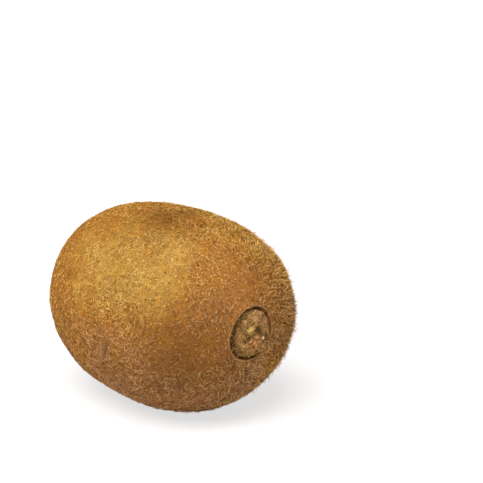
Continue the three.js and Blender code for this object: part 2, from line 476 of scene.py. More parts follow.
    def place_on(self, points: Array, node: str) -> None:
        """Sets the move that puts the skin's points where the CAD node is.

        Args:
            points: The skin's points, with the flat spot.
            node: Name of the node.
        """
        low, high = (np.array(corner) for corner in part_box(node))
        own_low, own_high = points.min(axis=0), points.max(axis=0)
        middle = (low + high - own_low - own_high) / 2
        self.shift = Vector((middle[0], middle[1], low[2] - own_low[2]))

    def moved(self, points: Array) -> Array:
        """Points moved from the core's own place to the frame."""
        return points + np.array(self.shift)


# Nodes

class NodeSheet:
    """A node tree with short ways to add nodes and join them."""

    def __init__(self, tree: bpy.types.NodeTree) -> None:
        """Keeps the tree that the nodes go into."""
        self.tree = tree

    def add(
        self, kind: str, inputs: Mapping[Any, Any] | None = None, **settings: Any
    ) -> bpy.types.Node:
        """Adds a node.

        Args:
            kind: Blender's name of the node type.
            inputs: Socket name or number to a value or to an output socket that feeds it.
            settings: Properties of the node.

        Returns:
            The node.
        """
        node = self.tree.nodes.new(kind)
        for name, value in settings.items():
            setattr(node, name, value)
        for key, value in (inputs or {}).items():
            if isinstance(value, bpy.types.NodeSocket):
                self.tree.links.new(value, node.inputs[key])
            else:
                node.inputs[key].default_value = value
        return node

    def sum(self, operation: str, *values: Any, clamp: bool = False) -> bpy.types.NodeSocket:
        """A Math node's output for an operation on values or sockets."""
        given = dict(enumerate(values))
        return self.add("ShaderNodeMath", given, operation=operation, use_clamp=clamp).outputs[0]

    def blend(self, share: Any, low: Any, high: Any) -> bpy.types.NodeSocket:
        """Colour at a share of the way from one colour to another."""
        colours = {0: share, 6: opaque(low), 7: opaque(high)}
        return self.add("ShaderNodeMix", colours, data_type="RGBA").outputs[2]

    def palette(self, value: Any, colours: Iterable[Colour]) -> bpy.types.NodeSocket:
        """Colour of an evenly spaced row of colours at a value.

        Args:
            value: Place along the row, from 0 to 1.
            colours: The row.

        Returns:
            The colour's socket.
        """
        node = self.add("ShaderNodeValToRGB", {0: value})
        row, colours = node.color_ramp.elements, list(colours)
        for _ in colours[2:]:
            row.new(0.5)
        for number, colour in enumerate(colours):
            row[number].position = number / (len(colours) - 1)
            row[number].color = opaque(colour)
        return node.outputs[0]

    def ramp(
        self, value: Any, low: float, high: float, out: tuple[float, float] = (0, 1)
    ) -> bpy.types.NodeSocket:
        """A value spread softly from low and high to the two limits in out."""
        limits = {"From Min": low, "From Max": high, "To Min": out[0], "To Max": out[1]}
        given = {"Value": value, **limits}
        return self.add("ShaderNodeMapRange", given, interpolation_type="SMOOTHSTEP").outputs[0]

    def effect(self, tree: bpy.types.NodeTree, **inputs: Any) -> bpy.types.NodeSocket:
        """Places a node group.

        Args:
            tree: The group.
            inputs: Values or sockets by the name of an input, with _ for each space.

        Returns:
            The group's output.
        """
        node = self.add("ShaderNodeGroup", None, node_tree=tree)
        for name, value in inputs.items():
            socket = node.inputs[name.replace("_", " ")]
            if isinstance(value, bpy.types.NodeSocket):
                self.tree.links.new(value, socket)
            else:
                socket.default_value = value
        return node.outputs[0]

    def near(
        self, place: bpy.types.NodeSocket, point: Vector, full: float, none: float
    ) -> bpy.types.NodeSocket:
        """A soft round mask that is 1 within a distance of a point and 0 past another."""
        away = self.add("ShaderNodeVectorMath", {0: place, 1: point}, operation="DISTANCE")
        return self.ramp(away.outputs["Value"], full, none, (1.0, 0.0))

    def mark(self, name: str) -> bpy.types.NodeSocket:
        """A measure that the mesh brings for each vertex."""
        return self.add("ShaderNodeAttribute", attribute_name=name).outputs["Fac"]

    def dress(
        self,
        bsdf: bpy.types.Node,
        colour: bpy.types.NodeSocket,
        roughness: float,
        shine: float,
        relief: tuple[bpy.types.NodeSocket, float] | None = None,
    ) -> None:
        """Feeds the shader its colour and relief, and sets how matt it is.

        Args:
            bsdf: The shader.
            colour: What its base colour is.
            roughness: How matt the surface is.
            shine: How much it mirrors.
            relief: Height from 0 to 1 of the fine relief, and its depth in metres.
        """
        self.tree.links.new(colour, bsdf.inputs["Base Color"])
        bsdf.inputs["Roughness"].default_value = roughness
        bsdf.inputs["Specular IOR Level"].default_value = shine
        if relief:
            bump_node = self.add("ShaderNodeBump", {"Height": relief[0], "Distance": relief[1]})
            self.tree.links.new(bump_node.outputs[0], bsdf.inputs["Normal"])


def opaque(colour: Any) -> Any:
    """A colour with full cover, where it is plain numbers."""
    return (*colour, 1.0) if isinstance(colour, tuple) and len(colour) == 3 else colour


def effect_group(
    name: str,
    inputs: Mapping[str, tuple[str, Any]],
    output: str,
    fill: Callable[[NodeSheet, bpy.types.NodeOutputs], bpy.types.NodeSocket],
) -> bpy.types.NodeTree:
    """Builds a shader node group with one output that is a plain value.

    Args:
        name: Name of the group.
        inputs: Name of each input to its socket type and its usual value.
        output: Name of the output.
        fill: Adds the nodes, and returns the socket that the group puts out.

    Returns:
        The group.
    """
    tree = bpy.data.node_groups.new(name, "ShaderNodeTree")
    for label, (kind, usual) in inputs.items():
        socket = tree.interface.new_socket(label, in_out="INPUT", socket_type=kind)
        if usual is not None:
            socket.default_value = usual
    tree.interface.new_socket(output, in_out="OUTPUT", socket_type="NodeSocketFloat")
    sheet = NodeSheet(tree)
    entry = sheet.add("NodeGroupInput")
    result = fill(sheet, entry.outputs)
    sheet.add("NodeGroupOutput", {output: result})
    return tree


SPECK_EDGE = 0.14
CLOUD_ROUGHNESS = 0.6


class Effects:
    """The node groups that more than one finish uses, each built once."""

    def __init__(self) -> None:
        """Builds the groups."""
        place = ("NodeSocketVector", None)
        self.drift = effect_group(
            "slow_drift",
            {
                "Place": place,
                "Patch Size": ("NodeSocketFloat", 10 * MM),
                "Detail": ("NodeSocketFloat", 3.0),
                "Contrast": ("NodeSocketFloat", 2.0),
            },
            "Mask",
            self._fill_drift,
        )
        self.specks = effect_group(
            "specks",
            {
                "Place": place,
                "Spacing": ("NodeSocketFloat", 1.2 * MM),
                "Reach": ("NodeSocketFloat", 0.3),
                "Share": ("NodeSocketFloat", 0.6),
            },
            "Mask",
            self._fill_specks,
        )

    @staticmethod
    def _fill_drift(sheet: NodeSheet, given: bpy.types.NodeOutputs) -> bpy.types.NodeSocket:
        """Cloudy patches of a size.

        Args:
            sheet: The group's node sheet.
            given: The group's inputs.

        Returns:
            A mask from 0 to 1.
        """
        scale = sheet.sum("DIVIDE", 1.0, given["Patch Size"])
        cloud = {"Vector": given["Place"], "Scale": scale, "Detail": given["Detail"]}
        noise = sheet.add("ShaderNodeTexNoise", {**cloud, "Roughness": CLOUD_ROUGHNESS})
        away = sheet.sum("SUBTRACT", noise.outputs[0], 0.5)
        return sheet.sum("MULTIPLY_ADD", away, given["Contrast"], 0.5, clamp=True)

    @staticmethod
    def _fill_specks(sheet: NodeSheet, given: bpy.types.NodeOutputs) -> bpy.types.NodeSocket:
        """Soft round specks, on a share of evenly spaced places.

        Args:
            sheet: The group's node sheet.
            given: The group's inputs.

        Returns:
            A mask that is 1 in a speck.
        """
        scale = sheet.sum("DIVIDE", 1.0, given["Spacing"])
        cells = sheet.add("ShaderNodeTexVoronoi", {"Vector": given["Place"], "Scale": scale})
        near = sheet.sum("SUBTRACT", given["Reach"], cells.outputs["Distance"])
        spot = sheet.ramp(near, 0.0, SPECK_EDGE)
        lot = sheet.add("ShaderNodeSeparateColor", {0: cells.outputs["Color"]}).outputs[0]
        chosen = sheet.sum("LESS_THAN", lot, given["Share"])
        return sheet.sum("MULTIPLY", spot, chosen)


def new_material(name: str) -> tuple[bpy.types.Material, NodeSheet, bpy.types.Node]:
    """Makes a node material with only a Principled BSDF and its output.

    Args:
        name: Name of the material.

    Returns:
        The material, its node sheet and its BSDF node.
    """
    material = bpy.data.materials.new(name)
    material.use_nodes = True
    sheet = NodeSheet(material.node_tree)
    return material, sheet, material.node_tree.nodes["Principled BSDF"]


# Finishes

RING_MARK = "ring_radius"
CREASE_SHADE_MARK = "crease"
TINT_MARK = "tint"
PAINTED_SHADE_MARK = "shade"
HOLLOW_SHADE_MARK = "hollow"

RAGGED = Ripple(9 * MM, 61)
RAGGED_BY = 0.22


@dataclass(frozen=True)
class Blotch:
    """A soft round place on the fruit where its colour or its hair differs, or where shade or light
    is painted.

    Attributes:
        middle: Point of the skin before the move to the frame, in millimetres.
        reach: How far from it the blotch fades, in millimetres.
        strength: How strong it is at most. Below zero it works the other way.
    """

    middle: tuple[float, float, float]
    reach: float
    strength: float

    def at(self, points: Array) -> Array:
        """Strength of the blotch, with a ragged edge.

        Args:
            points: Points of the skin before the move to the frame, in metres.

        Returns:
            One value for each point.
        """
        away = np.linalg.norm(points / MM - np.array(self.middle), axis=-1)
        ragged = 1 + RAGGED_BY * RAGGED.at(points)
        return self.strength * bump(away * ragged, self.reach)


# Pale gold, partly a painted highlight where the light falls most, ochre above, and a redder brown
# below and at the stem end
GOLDEN_AND_PAINTED_HIGHLIGHT = (
    Blotch((17, -19, 12.5), 13, 0.62),
    Blotch((34, 6, 0), 20, 0.24),
    Blotch((-1, -19, 17), 12, 0.32),
    Blotch((28, -5, 14), 10, -0.18),
    Blotch((-12, 20, 8), 20, 0.3),
)
REDDER = (0.66 / (33 * MM), 0.0, -1.0 / (26 * MM))
REDDER_FROM = (-0.6, 0.9)

# Painted shade and painted light: the first is partly a dark mark of the skin and partly the
# painted shadow of a neighbouring fruit, the second partly darker skin and partly painted shade,
# and those below zero are painted light
DARK_MARKS_PAINTED_SHADE_AND_LIGHT = (
    Blotch((6.3, -4, 24.6), 8, 0.5),
    Blotch((26, -19, -1.5), 10, 0.46),
    Blotch((27, -5, 16.5), 11.5, -0.26),
    Blotch((15.5, -23, 2.5), 8, -0.18),
    Blotch((31.5, 3, -10), 8, -0.12),
)

# Where the hair is rubbed shorter and more even in tone, and where it stands up
WORN = (Blotch((26, -18, -0.5), 10.5, 0.42), Blotch((30, -2, 12.5), 12, 0.58))
STANDING = (Blotch((24, 18, 12), 12, 0.9),)

# Where golden and red brown hairs are mixed
PIED = (Blotch((27, -18, 1), 13, 0.85), Blotch((28, -6, 14.5), 12, 0.7))


def tint_at(points: Array) -> Array:
    """The even part of the tint before the move to the frame: 0 gold, 0.5 ochre, 1 red brown."""
    redder = smoothstep(points @ np.array(REDDER), *REDDER_FROM)
    return 0.5 + 0.5 * redder - summed(GOLDEN_AND_PAINTED_HIGHLIGHT, points)


@dataclass(frozen=True)
class Patch:
    """A patch of colour on the dried calyx.

    Attributes:
        middle: Place along +Y and +Z from the core, in millimetres.
        reach: How far from it the patch ends, in millimetres.
        colour: Its colour.
        strength: How much of it shows, from 0 to 1.
    """

    middle: tuple[float, float]
    reach: float
    colour: Colour
    strength: float


@dataclass(frozen=True)
class SkinFinish:
    """Matt skin under the fuzz: golden at the blossom end and above, redder below.

    Attributes:
        effects: The shared node groups.
        tints: Colours from gold through ochre to red brown.
        deep: Colour of the mottles, and of the dark marks and painted shade.
        speck: Colour of the specks.
        ring: Colour of the bare rim round the calyx.
        groove: Colour of the seat and its wall, and painted shade in the crease beside the lip.
        drift: Size of the slow patches that shift the tint, and by how much.
        mottle: Size of the mottles, and how strong they are.
        specks: Distance between specks, and how strong they are.
        speck_pit: Depth of a speck as a share of grain_depth.
        roughness: How matt the skin is.
        shine: How much it mirrors.
        grain_depth: Depth of the fine relief.
        lip_ring: Distances from the ring's middle between which the bare rim ends.
        lip_show: How much of the rim's colour shows, and how little where it is worn.
        lip_wear: Strengths of the mottles between which the rim is worn.
        groove_ring: Distances between which the groove's colour ends.
    """

    effects: Effects
    tints: tuple[Colour, ...] = ((0.44, 0.235, 0.04), (0.33, 0.125, 0.015), (0.32, 0.125, 0.032))
    deep: Colour = (0.11, 0.042, 0.008)
    speck: Colour = (0.07, 0.028, 0.007)
    ring: Colour = (0.34, 0.19, 0.075)
    groove: Colour = (0.20, 0.082, 0.018)
    drift: tuple[float, float] = (13 * MM, 0.2)
    mottle: tuple[float, float] = (1.5 * MM, 0.6)
    specks: tuple[float, float] = (1.1 * MM, 0.75)
    speck_pit: float = 0.7
    roughness: float = 0.8
    shine: float = 0.05
    grain_depth: float = 0.1 * MM
    lip_ring: tuple[float, float] = (7.15 * MM, 7.6 * MM)
    lip_show: tuple[float, float] = (0.8, 0.4)
    lip_wear: tuple[float, float] = (0.2, 0.9)
    groove_ring: tuple[float, float] = (6.75 * MM, 7.0 * MM)

    def build(self) -> bpy.types.Material:
        """Makes the material.

        Returns:
            The material.
        """
        material, sheet, bsdf = new_material("kiwi_skin")
        effects = self.effects
        place = sheet.add("ShaderNodeTexCoord").outputs["Object"]
        size, shift = self.drift
        drift = sheet.effect(effects.drift, Place=place, Patch_Size=size)
        spread = sheet.sum("MULTIPLY_ADD", drift, 2 * shift, -shift)
        tinted = sheet.sum("ADD", sheet.mark(TINT_MARK), spread, clamp=True)
        colour = sheet.palette(tinted, self.tints)
        size, strength = self.mottle
        mottle = sheet.effect(effects.drift, Place=place, Patch_Size=size, Detail=5.0, Contrast=2.8)
        colour = sheet.blend(sheet.sum("MULTIPLY", mottle, strength), colour, self.deep)
        spacing, strength = self.specks
        specks = sheet.effect(effects.specks, Place=place, Spacing=spacing, Reach=0.24, Share=0.5)
        colour = sheet.blend(sheet.sum("MULTIPLY", specks, strength), colour, self.speck)
        # Dark marks of the skin and painted shade, where the shade mark is above zero
        colour = sheet.blend(sheet.mark(PAINTED_SHADE_MARK), colour, self.deep)
        ring = sheet.mark(RING_MARK)
        shown, worn = self.lip_show
        bare = sheet.ramp(ring, *self.lip_ring, (shown, 0.0))
        patchy = sheet.ramp(mottle, *self.lip_wear, (1.0, worn / shown))
        colour = sheet.blend(sheet.sum("MULTIPLY", bare, patchy), colour, self.ring)
        # Painted shade in the crease beside the lip
        colour = sheet.blend(sheet.mark(CREASE_SHADE_MARK), colour, self.groove)
        colour = sheet.blend(sheet.ramp(ring, *self.groove_ring, (1.0, 0.0)), colour, self.groove)
        height = sheet.sum("MULTIPLY_ADD", specks, -self.speck_pit, mottle)
        sheet.dress(bsdf, colour, self.roughness, self.shine, (height, self.grain_depth))
        return material


@dataclass(frozen=True)
class HairFinish:
    """Dry hair whose colour is read from where it lies on a palette.

    Attributes:
        name: Name of the material.
        roots: Colours of the roots across the palette.
        tips: Colours of the tips across it.
        roughness: How matt the hairs are.
        shine: How much they mirror.
    """

    name: str
    roots: tuple[Colour, ...]
    tips: tuple[Colour, ...]
    roughness: float = 0.6
    shine: float = 0.0

    def build(self) -> bpy.types.Material:
        """Makes the material.

        Returns:
            The material.
        """
        material, sheet, bsdf = new_material(self.name)
        palette = sheet.add("ShaderNodeUVMap", None, uv_map=PALETTE_MAP).outputs[0]
        across, up, _ = sheet.add("ShaderNodeSeparateXYZ", {0: palette}).outputs
        colour = sheet.blend(up, *(sheet.palette(across, row) for row in (self.roots, self.tips)))
        sheet.dress(bsdf, colour, self.roughness, self.shine)
        return material


@dataclass(frozen=True)
class CalyxFinish:
    """Dry matted sepals: tan and brown, with patches of their own colour, and painted shade in the
    pits and hollows.

    Attributes:
        effects: The shared node groups.
        form: The fruit's form, already placed.
        tan: Colour of the paler clouds.
        brown: Colour of the darker clouds.
        pale: Colour of the worn grains.
        dust: Colour between the grains.
        hollow_shade: Colour of the painted shade in the hollows and the sunk groove.
        cloud_size: Size of the clouds.
        grain_size: Size of the grains.
        pale_by: How much of the worn grains' colour shows.
        pale_grain: Values of the grains between which it ends.
        dust_by: How much of the dust shows.
        dust_grain: Values of the grains between which it sets in.
        roughness: How matt the sepals are.
        shine: How much they mirror.
        grain_depth: Depth of the fine relief.
        wander: How far the patches' edges are drawn out.
        wander_size: Size of those ragged edges.
        lift: How far the patches' middles lie past the fruit's pole.
        patches: Patches of colour, each over the ones before; the last three are painted shade in
            and beside the pits.
        patch_edge: Where a patch's edge starts and ends, as shares of its reach.
        pale_crumb: One pale crumb on top.
        crumb_edge: Where the crumb's edge starts and ends.
    """

    effects: Effects
    form: FruitForm
    tan: Colour = (0.42, 0.220, 0.064)
    brown: Colour = (0.28, 0.125, 0.030)
    pale: Colour = (0.62, 0.38, 0.14)
    dust: Colour = (0.15, 0.068, 0.018)
    hollow_shade: Colour = (0.052, 0.022, 0.005)
    cloud_size: float = 2.6 * MM
    grain_size: float = 0.9 * MM
    pale_by: float = 0.5
    pale_grain: tuple[float, float] = (0.0, 0.4)
    dust_by: float = 0.6
    dust_grain: tuple[float, float] = (0.5, 1.0)
    roughness: float = 0.9
    shine: float = 0.12
    grain_depth: float = 0.15 * MM
    wander: float = 1.6 * MM
    wander_size: float = 1.0 / 0.7 * MM
    lift: float = 0.7 * MM
    patches: tuple[Patch, ...] = (
        Patch((-3.6, -2.4), 2.4, (0.40, 0.26, 0.085), 0.5),
        Patch((3.2, 2.6), 2.4, (0.34, 0.155, 0.070), 0.7),
        Patch((-2.8, 3.6), 2.8, (0.22, 0.115, 0.030), 0.7),
        Patch((1.1, 5.0), 1.8, (0.44, 0.26, 0.125), 0.6),
        Patch((-2.1, -4.6), 1.8, (0.44, 0.29, 0.085), 0.6),
        Patch((-0.3, -2.6), 2.1, (0.46, 0.17, 0.060), 0.85),
        Patch((-0.9, 1.4), 1.9, (0.38, 0.265, 0.065), 0.75),
        # The last three are painted shade: dark patches in and beside the pits next to the middle
        # lump
        Patch((1.1, 2.1), 1.1, (0.15, 0.098, 0.012), 0.9),
        Patch((1.8, 0.5), 1.0, (0.13, 0.085, 0.010), 0.9),
        Patch((-2.0, -0.4), 1.0, (0.12, 0.054, 0.011), 0.85),
    )
    patch_edge: tuple[float, float] = (0.5, 1.15)
    pale_crumb: Patch = Patch((3.15, -1.2), 0.5, (0.95, 0.72, 0.48), 0.95)
    crumb_edge: tuple[float, float] = (0.6, 1.1)

    def build(self) -> bpy.types.Material:
        """Makes the material.

        Returns:
            The material.
        """
        material, sheet, bsdf = new_material("kiwi_calyx")
        drift = self.effects.drift
        place = sheet.add("ShaderNodeTexCoord").outputs["Object"]
        clouds = sheet.effect(drift, Place=place, Patch_Size=self.cloud_size, Contrast=3.0)
        colour = sheet.blend(clouds, self.tan, self.brown)
        ragged = self._ragged(sheet, place)
        for patch in self.patches:
            mask = self._mask(sheet, ragged, patch, self.patch_edge)
            colour = sheet.blend(mask, colour, patch.colour)
        size = self.grain_size
        grain = sheet.effect(drift, Place=place, Patch_Size=size, Detail=4.0, Contrast=4.5)
        dusty = sheet.ramp(grain, *self.dust_grain, (0.0, self.dust_by))
        colour = sheet.blend(dusty, colour, self.dust)
        pale = sheet.ramp(grain, *self.pale_grain, (self.pale_by, 0.0))
        colour = sheet.blend(pale, colour, self.pale)
        # Painted shade in the hollows and in the sunk groove
        colour = sheet.blend(sheet.mark(HOLLOW_SHADE_MARK), colour, self.hollow_shade)
        crumb = self._mask(sheet, place, self.pale_crumb, self.crumb_edge)
        colour = sheet.blend(crumb, colour, self.pale_crumb.colour)
        height = sheet.sum("SUBTRACT", 1.0, grain)
        sheet.dress(bsdf, colour, self.roughness, self.shine, (height, self.grain_depth))
        return material

    def _ragged(self, sheet: NodeSheet, place: bpy.types.NodeSocket) -> bpy.types.NodeSocket:
        """Shifts the place at random, so that patches get ragged edges.

        Args:
            sheet: The material's node sheet.
            place: Place on the surface.

        Returns:
            The shifted place.
        """
        cloud = {"Vector": place, "Scale": 1 / self.wander_size, "Detail": 3.0}
        noise = sheet.add("ShaderNodeTexNoise", cloud).outputs["Color"]
        even = sheet.add("ShaderNodeVectorMath", {0: noise, 1: (0.5,) * 3}, operation="SUBTRACT")
        spread = {0: even.outputs[0], 1: (self.wander,) * 3, 2: place}
        return sheet.add("ShaderNodeVectorMath", spread, operation="MULTIPLY_ADD").outputs[0]

    def _mask(
        self,
        sheet: NodeSheet,
        place: bpy.types.NodeSocket,
        patch: Patch,
        edge: tuple[float, float],
    ) -> bpy.types.NodeSocket:
        """Mask of a patch.

        Args:
            sheet: The material's node sheet.
            place: Place on the surface.
            patch: The patch.
            edge: Where its edge starts and ends, as shares of its reach.

        Returns:
            The mask, at most as strong as the patch.
        """
        across, above = patch.middle
        middle = Vector((self.form.half_length + self.lift, across * MM, above * MM))
        full, none = (share * patch.reach * MM for share in edge)
        mask = sheet.near(place, self.form.shift + middle, full, none)
        return sheet.sum("MULTIPLY", mask, patch.strength)


@dataclass(frozen=True)
class StylesFinish:
    """Dry dark threads, paler and greyer where they are worn.

    Attributes:
        effects: The shared node groups.
        dark: Colour of the threads.
        worn: Colour where they are worn.
        worn_size: Size of the worn places.
        worn_by: How much of their colour shows.
        roughness: How matt the threads are.
        shine: How much they mirror.
        grain_depth: Depth of the fine relief.
    """

    effects: Effects
    dark: Colour = (0.045, 0.022, 0.011)
    worn: Colour = (0.16, 0.10, 0.055)
    worn_size: float = 0.9 * MM
    worn_by: float = 0.6
    roughness: float = 0.8
    shine: float = 0.25
    grain_depth: float = 0.05 * MM

    def build(self) -> bpy.types.Material:
        """Makes the material.

        Returns:
            The material.
        """
        material, sheet, bsdf = new_material("kiwi_styles")
        place = sheet.add("ShaderNodeTexCoord").outputs["Object"]
        drift = self.effects.drift
        worn = sheet.effect(drift, Place=place, Patch_Size=self.worn_size, Detail=5.0, Contrast=3.0)
        colour = sheet.blend(sheet.sum("MULTIPLY", worn, self.worn_by), self.dark, self.worn)
        sheet.dress(bsdf, colour, self.roughness, self.shine, (worn, self.grain_depth))
        return material


@dataclass(frozen=True)
class FloorFinish:
    """Plain near-white paper whose shadows are lifted, as on an over-exposed backdrop.

    Attributes:
        colour: What the camera sees of the light on it.
        glow: What the camera sees of it without any light.
        bounce: What it throws back at the fruit.
        roughness: How matt it is.
        shine: How much it mirrors.
    """

    colour: Colour = (0.30, 0.295, 0.29)
    glow: float = 0.68
    bounce: Colour = (0.74, 0.725, 0.71)
    roughness: float = 0.9
    shine: float = 0.1

    def build(self) -> bpy.types.Material:
        """Makes the material.

        Returns:
            The material.
        """
        material, sheet, bsdf = new_material("plain_floor")
        seen = sheet.add("ShaderNodeLightPath").outputs["Is Camera Ray"]
        colour = sheet.blend(seen, self.bounce, self.colour)
        glow = sheet.sum("MULTIPLY", seen, self.glow)
        sheet.tree.links.new(glow, bsdf.inputs["Emission Strength"])
        bsdf.inputs["Emission Color"].default_value = (1, 1, 1, 1)
        sheet.dress(bsdf, colour, self.roughness, self.shine)
        return material


# Sub-assemblies

@dataclass
class Skin:
    """The skin of the fruit from pole to pole, with the seat, the lip and the dimple.

    Attributes:
        form: The grown form.
        columns: Vertices round the core.
        belly_rows: Rings between the two ends.
        stem_steps: First radius, last radius and step of the rings at the stem end.
        dimple_steps: The same in the dimple.
        lumps: Slow and quick unevenness of the skin, with their heights.
        lump_ring: Radius past which the lumps are full, as a multiple of the lip's.
        end_push: How far along the core relief is pushed at the ends, as a share of sideways.
        crease_radius: Radius of the crease beside the lip.
        crease_width: How soon it fades.
        crease_depth: Depth of it.
        crease_side: Side of the ring where it lies, in degrees.
        crease_spread: How far round the ring it reaches, in degrees.
        points: Vertices before the move to the frame, once built.
        normals: Outward directions there.
        triangles: Faces of the rings, halved, for the hairs to be spread on.
    """

    form: FruitForm
    columns: int = 300
    belly_rows: int = 128
    stem_steps: tuple[tuple[float, float, float], ...] = (
        (0.3 * MM, 6.2 * MM, 0.45 * MM),
        (6.2 * MM, 8.8 * MM, 0.1 * MM),
        (8.8 * MM, 13.6 * MM, 0.3 * MM),
    )
    dimple_steps: tuple[tuple[float, float, float], ...] = ((0.3 * MM, 11.2 * MM, 0.36 * MM),)
    lumps: tuple[tuple[Ripple, float], ...] = (
        (Ripple(9 * MM, 11), 0.06 * MM),
        (Ripple(2.6 * MM, 12), 0.03 * MM),
    )
    lump_ring: float = 1.2
    end_push: float = 0.6
    crease_radius: float = 7.75 * MM
    crease_width: float = 0.25 * MM
    crease_depth: float = 0.28 * MM
    crease_side: float = 25.0
    crease_spread: float = 42.0
    points: Array = field(init=False)
    normals: Array = field(init=False)
    triangles: Array = field(init=False)

    def _outline(self) -> tuple[Array, Array]:
        """Lays out the rings of the plain outline.

        Returns:
            Places along the core and radii, from the stem end to the blossom end.
        """
        form = self.form
        stem = np.concatenate([np.arange(a, b - step / 2, step) for a, b, step in self.stem_steps])
        blossom = np.concatenate([np.arange(a, b, step) for a, b, step in self.dimple_steps])
        power = form.bluntness / 2
        first = math.asin((self.stem_steps[-1][1] / form.half_width) ** power)
        last = math.pi - math.asin((self.dimple_steps[-1][1] / form.half_width) ** power)
        t = np.linspace(first, last, self.belly_rows)
        belly_radius = form.half_width * np.sin(t) ** (1 / power)
        belly_axial = form.half_length * np.sign(np.cos(t)) * np.abs(np.cos(t)) ** (1 / power)
        radius = np.concatenate([stem, belly_radius, blossom[::-1]])
        axial = np.concatenate([form.core_at(stem), belly_axial, -form.core_at(blossom[::-1])])
        return axial, radius

    def _relief(self, smooth: Array) -> tuple[Array, Array, Array]:
        """Adds the lumps, the crease beside the lip and the flat spot.

        Args:
            smooth: Points of the plain skin.

        Returns:
            The points, how far they lie from the ring's middle as the bare rim sees it, and the
            crease's mask.
        """
        form, stem_half = self.form, smooth[:, 0] > 0
        ring, turn = form.ring_place(smooth)
        ring = np.where(stem_half, ring, form.half_width)
        lip = np.where(stem_half, form.lip_place(smooth), form.half_width)
        beside = bump(degrees_off(turn, self.crease_side), self.crease_spread)
        crease = bump(ring - self.crease_radius, self.crease_width) * beside
        full = smoothstep(ring, form.lip_radius, self.lump_ring * form.lip_radius)
        relief = rippled(self.lumps, smooth) * full - crease * self.crease_depth
        points = smooth + unit(smooth * np.array([self.end_push, 1, 1])) * relief[:, None]
        points[:, 2] = np.maximum(points[:, 2], smooth[:, 2].min() + form.rest_depth)
        return points, lip, crease

    def build(self) -> bpy.types.Object:
        """Builds the skin, places the form on its node and keeps the points for the hairs.

        Returns:
            The skin's mesh object.
        """
        form = self.form
        axial, radius = self._outline()
        angle = np.linspace(0, TURN, self.columns, endpoint=False)
        rings = form.skin_point(axial[:, None], radius[:, None], angle[None, :]).reshape(-1, 3)
        seat_floor = np.array(form.half_length - form.seat_depth)
        seat_pole = form.ringed(seat_floor, np.zeros(()), np.zeros(()))
        seat_pole = seat_pole * np.array([1, 1, form.height_share])
        smooth = np.concatenate([rings, [seat_pole, [form.dimple_depth - form.half_length, 0, 0]]])
        points, lip, crease = self._relief(smooth)
        form.place_on(points, "fruit")
        quads, *caps = closed_faces(len(axial), self.columns)
        marks = {
            RING_MARK: lip,
            CREASE_SHADE_MARK: crease,
            TINT_MARK: tint_at(points),
            # Dark marks, painted shade and painted light, for the skin's finish
            PAINTED_SHADE_MARK: summed(DARK_MARKS_PAINTED_SHADE_AND_LIGHT, points),
        }
        piece = mesh_piece("skin", form.moved(points), [quads, *caps], marks=marks)
        normals = np.zeros(len(points) * 3, np.float32)
        piece.data.vertex_normals.foreach_get("vector", normals)
        self.points = points
        self.normals = normals.reshape(-1, 3).astype(float)
        self.triangles = np.concatenate([quads[:, [0, 1, 2]], quads[:, [0, 2, 3]]])
        return piece

    def scattered(self, count: int, rng: np.random.Generator) -> tuple[Array, Array]:
        """Even random places on the skin.

        Args:
            count: How many places.
            rng: Source of the draws.

        Returns:
            Points, and the outward directions there.
        """
        a, b, c = (self.points[self.triangles[:, i]] for i in range(3))
        areas = np.linalg.norm(np.cross(b - a, c - a), axis=1)
        reach = np.cumsum(areas) / areas.sum()
        draws = (np.arange(count) + rng.random(count)) / count
        picked = self.triangles[np.minimum(np.searchsorted(reach, draws), len(areas) - 1)]
        share = rng.dirichlet((1, 1, 1), count)[:, :, None]
        return (self.points[picked] * share).sum(1), unit((self.normals[picked] * share).sum(1))


@dataclass(frozen=True)
class HairCut:
    """Sizes of one kind of hair.

    Attributes:
        length: Shortest and longest, in metres.
        width: Thinnest and thickest at the root, in metres.
        rise: Least and most that a hair stands off the skin, in degrees.
        droop: How much lower it lies after each bend, in degrees.
        stray: Spread of its direction round the coat's flow, in radians.
        curl: Spread of its sideways turn at each bend, in radians.
        bends: How many bends it has between its root and its tip.
        depth: Palette height of the root and of the tip.
    """

    length: tuple[float, float]
    width: tuple[float, float]
    rise: tuple[float, float]
    droop: tuple[float, float] = (0, 0)
    stray: float = 0.5
    curl: float = 0.0
    bends: int = 0
    depth: tuple[float, float] = (0.1, 0.85)


@dataclass
class HairRoots:
    """Where hairs grow, with what each of them brings.

    Attributes:
        points: Roots on the skin.
        normals: Outward directions there.
        lie: Directions along the skin in which the hairs lie.
        length: Length of each hair.
        rise: What each hair's own rise is multiplied by.
        tint: Palette place of each hair from golden to red brown.
        tone: What is added to each hair's palette height.
    """

    points: Array
    normals: Array
    lie: Array
    length: Array
    rise: Array
    tint: Array
    tone: Array

    def where(self, chosen: Array) -> "HairRoots":
        """Only the chosen hairs, by a true or false for each."""
        return HairRoots(**{name: values[chosen] for name, values in vars(self).items()})


# One triangle closes a hair's root, and three its tip
TRIANGLES_A_HAIR = 4


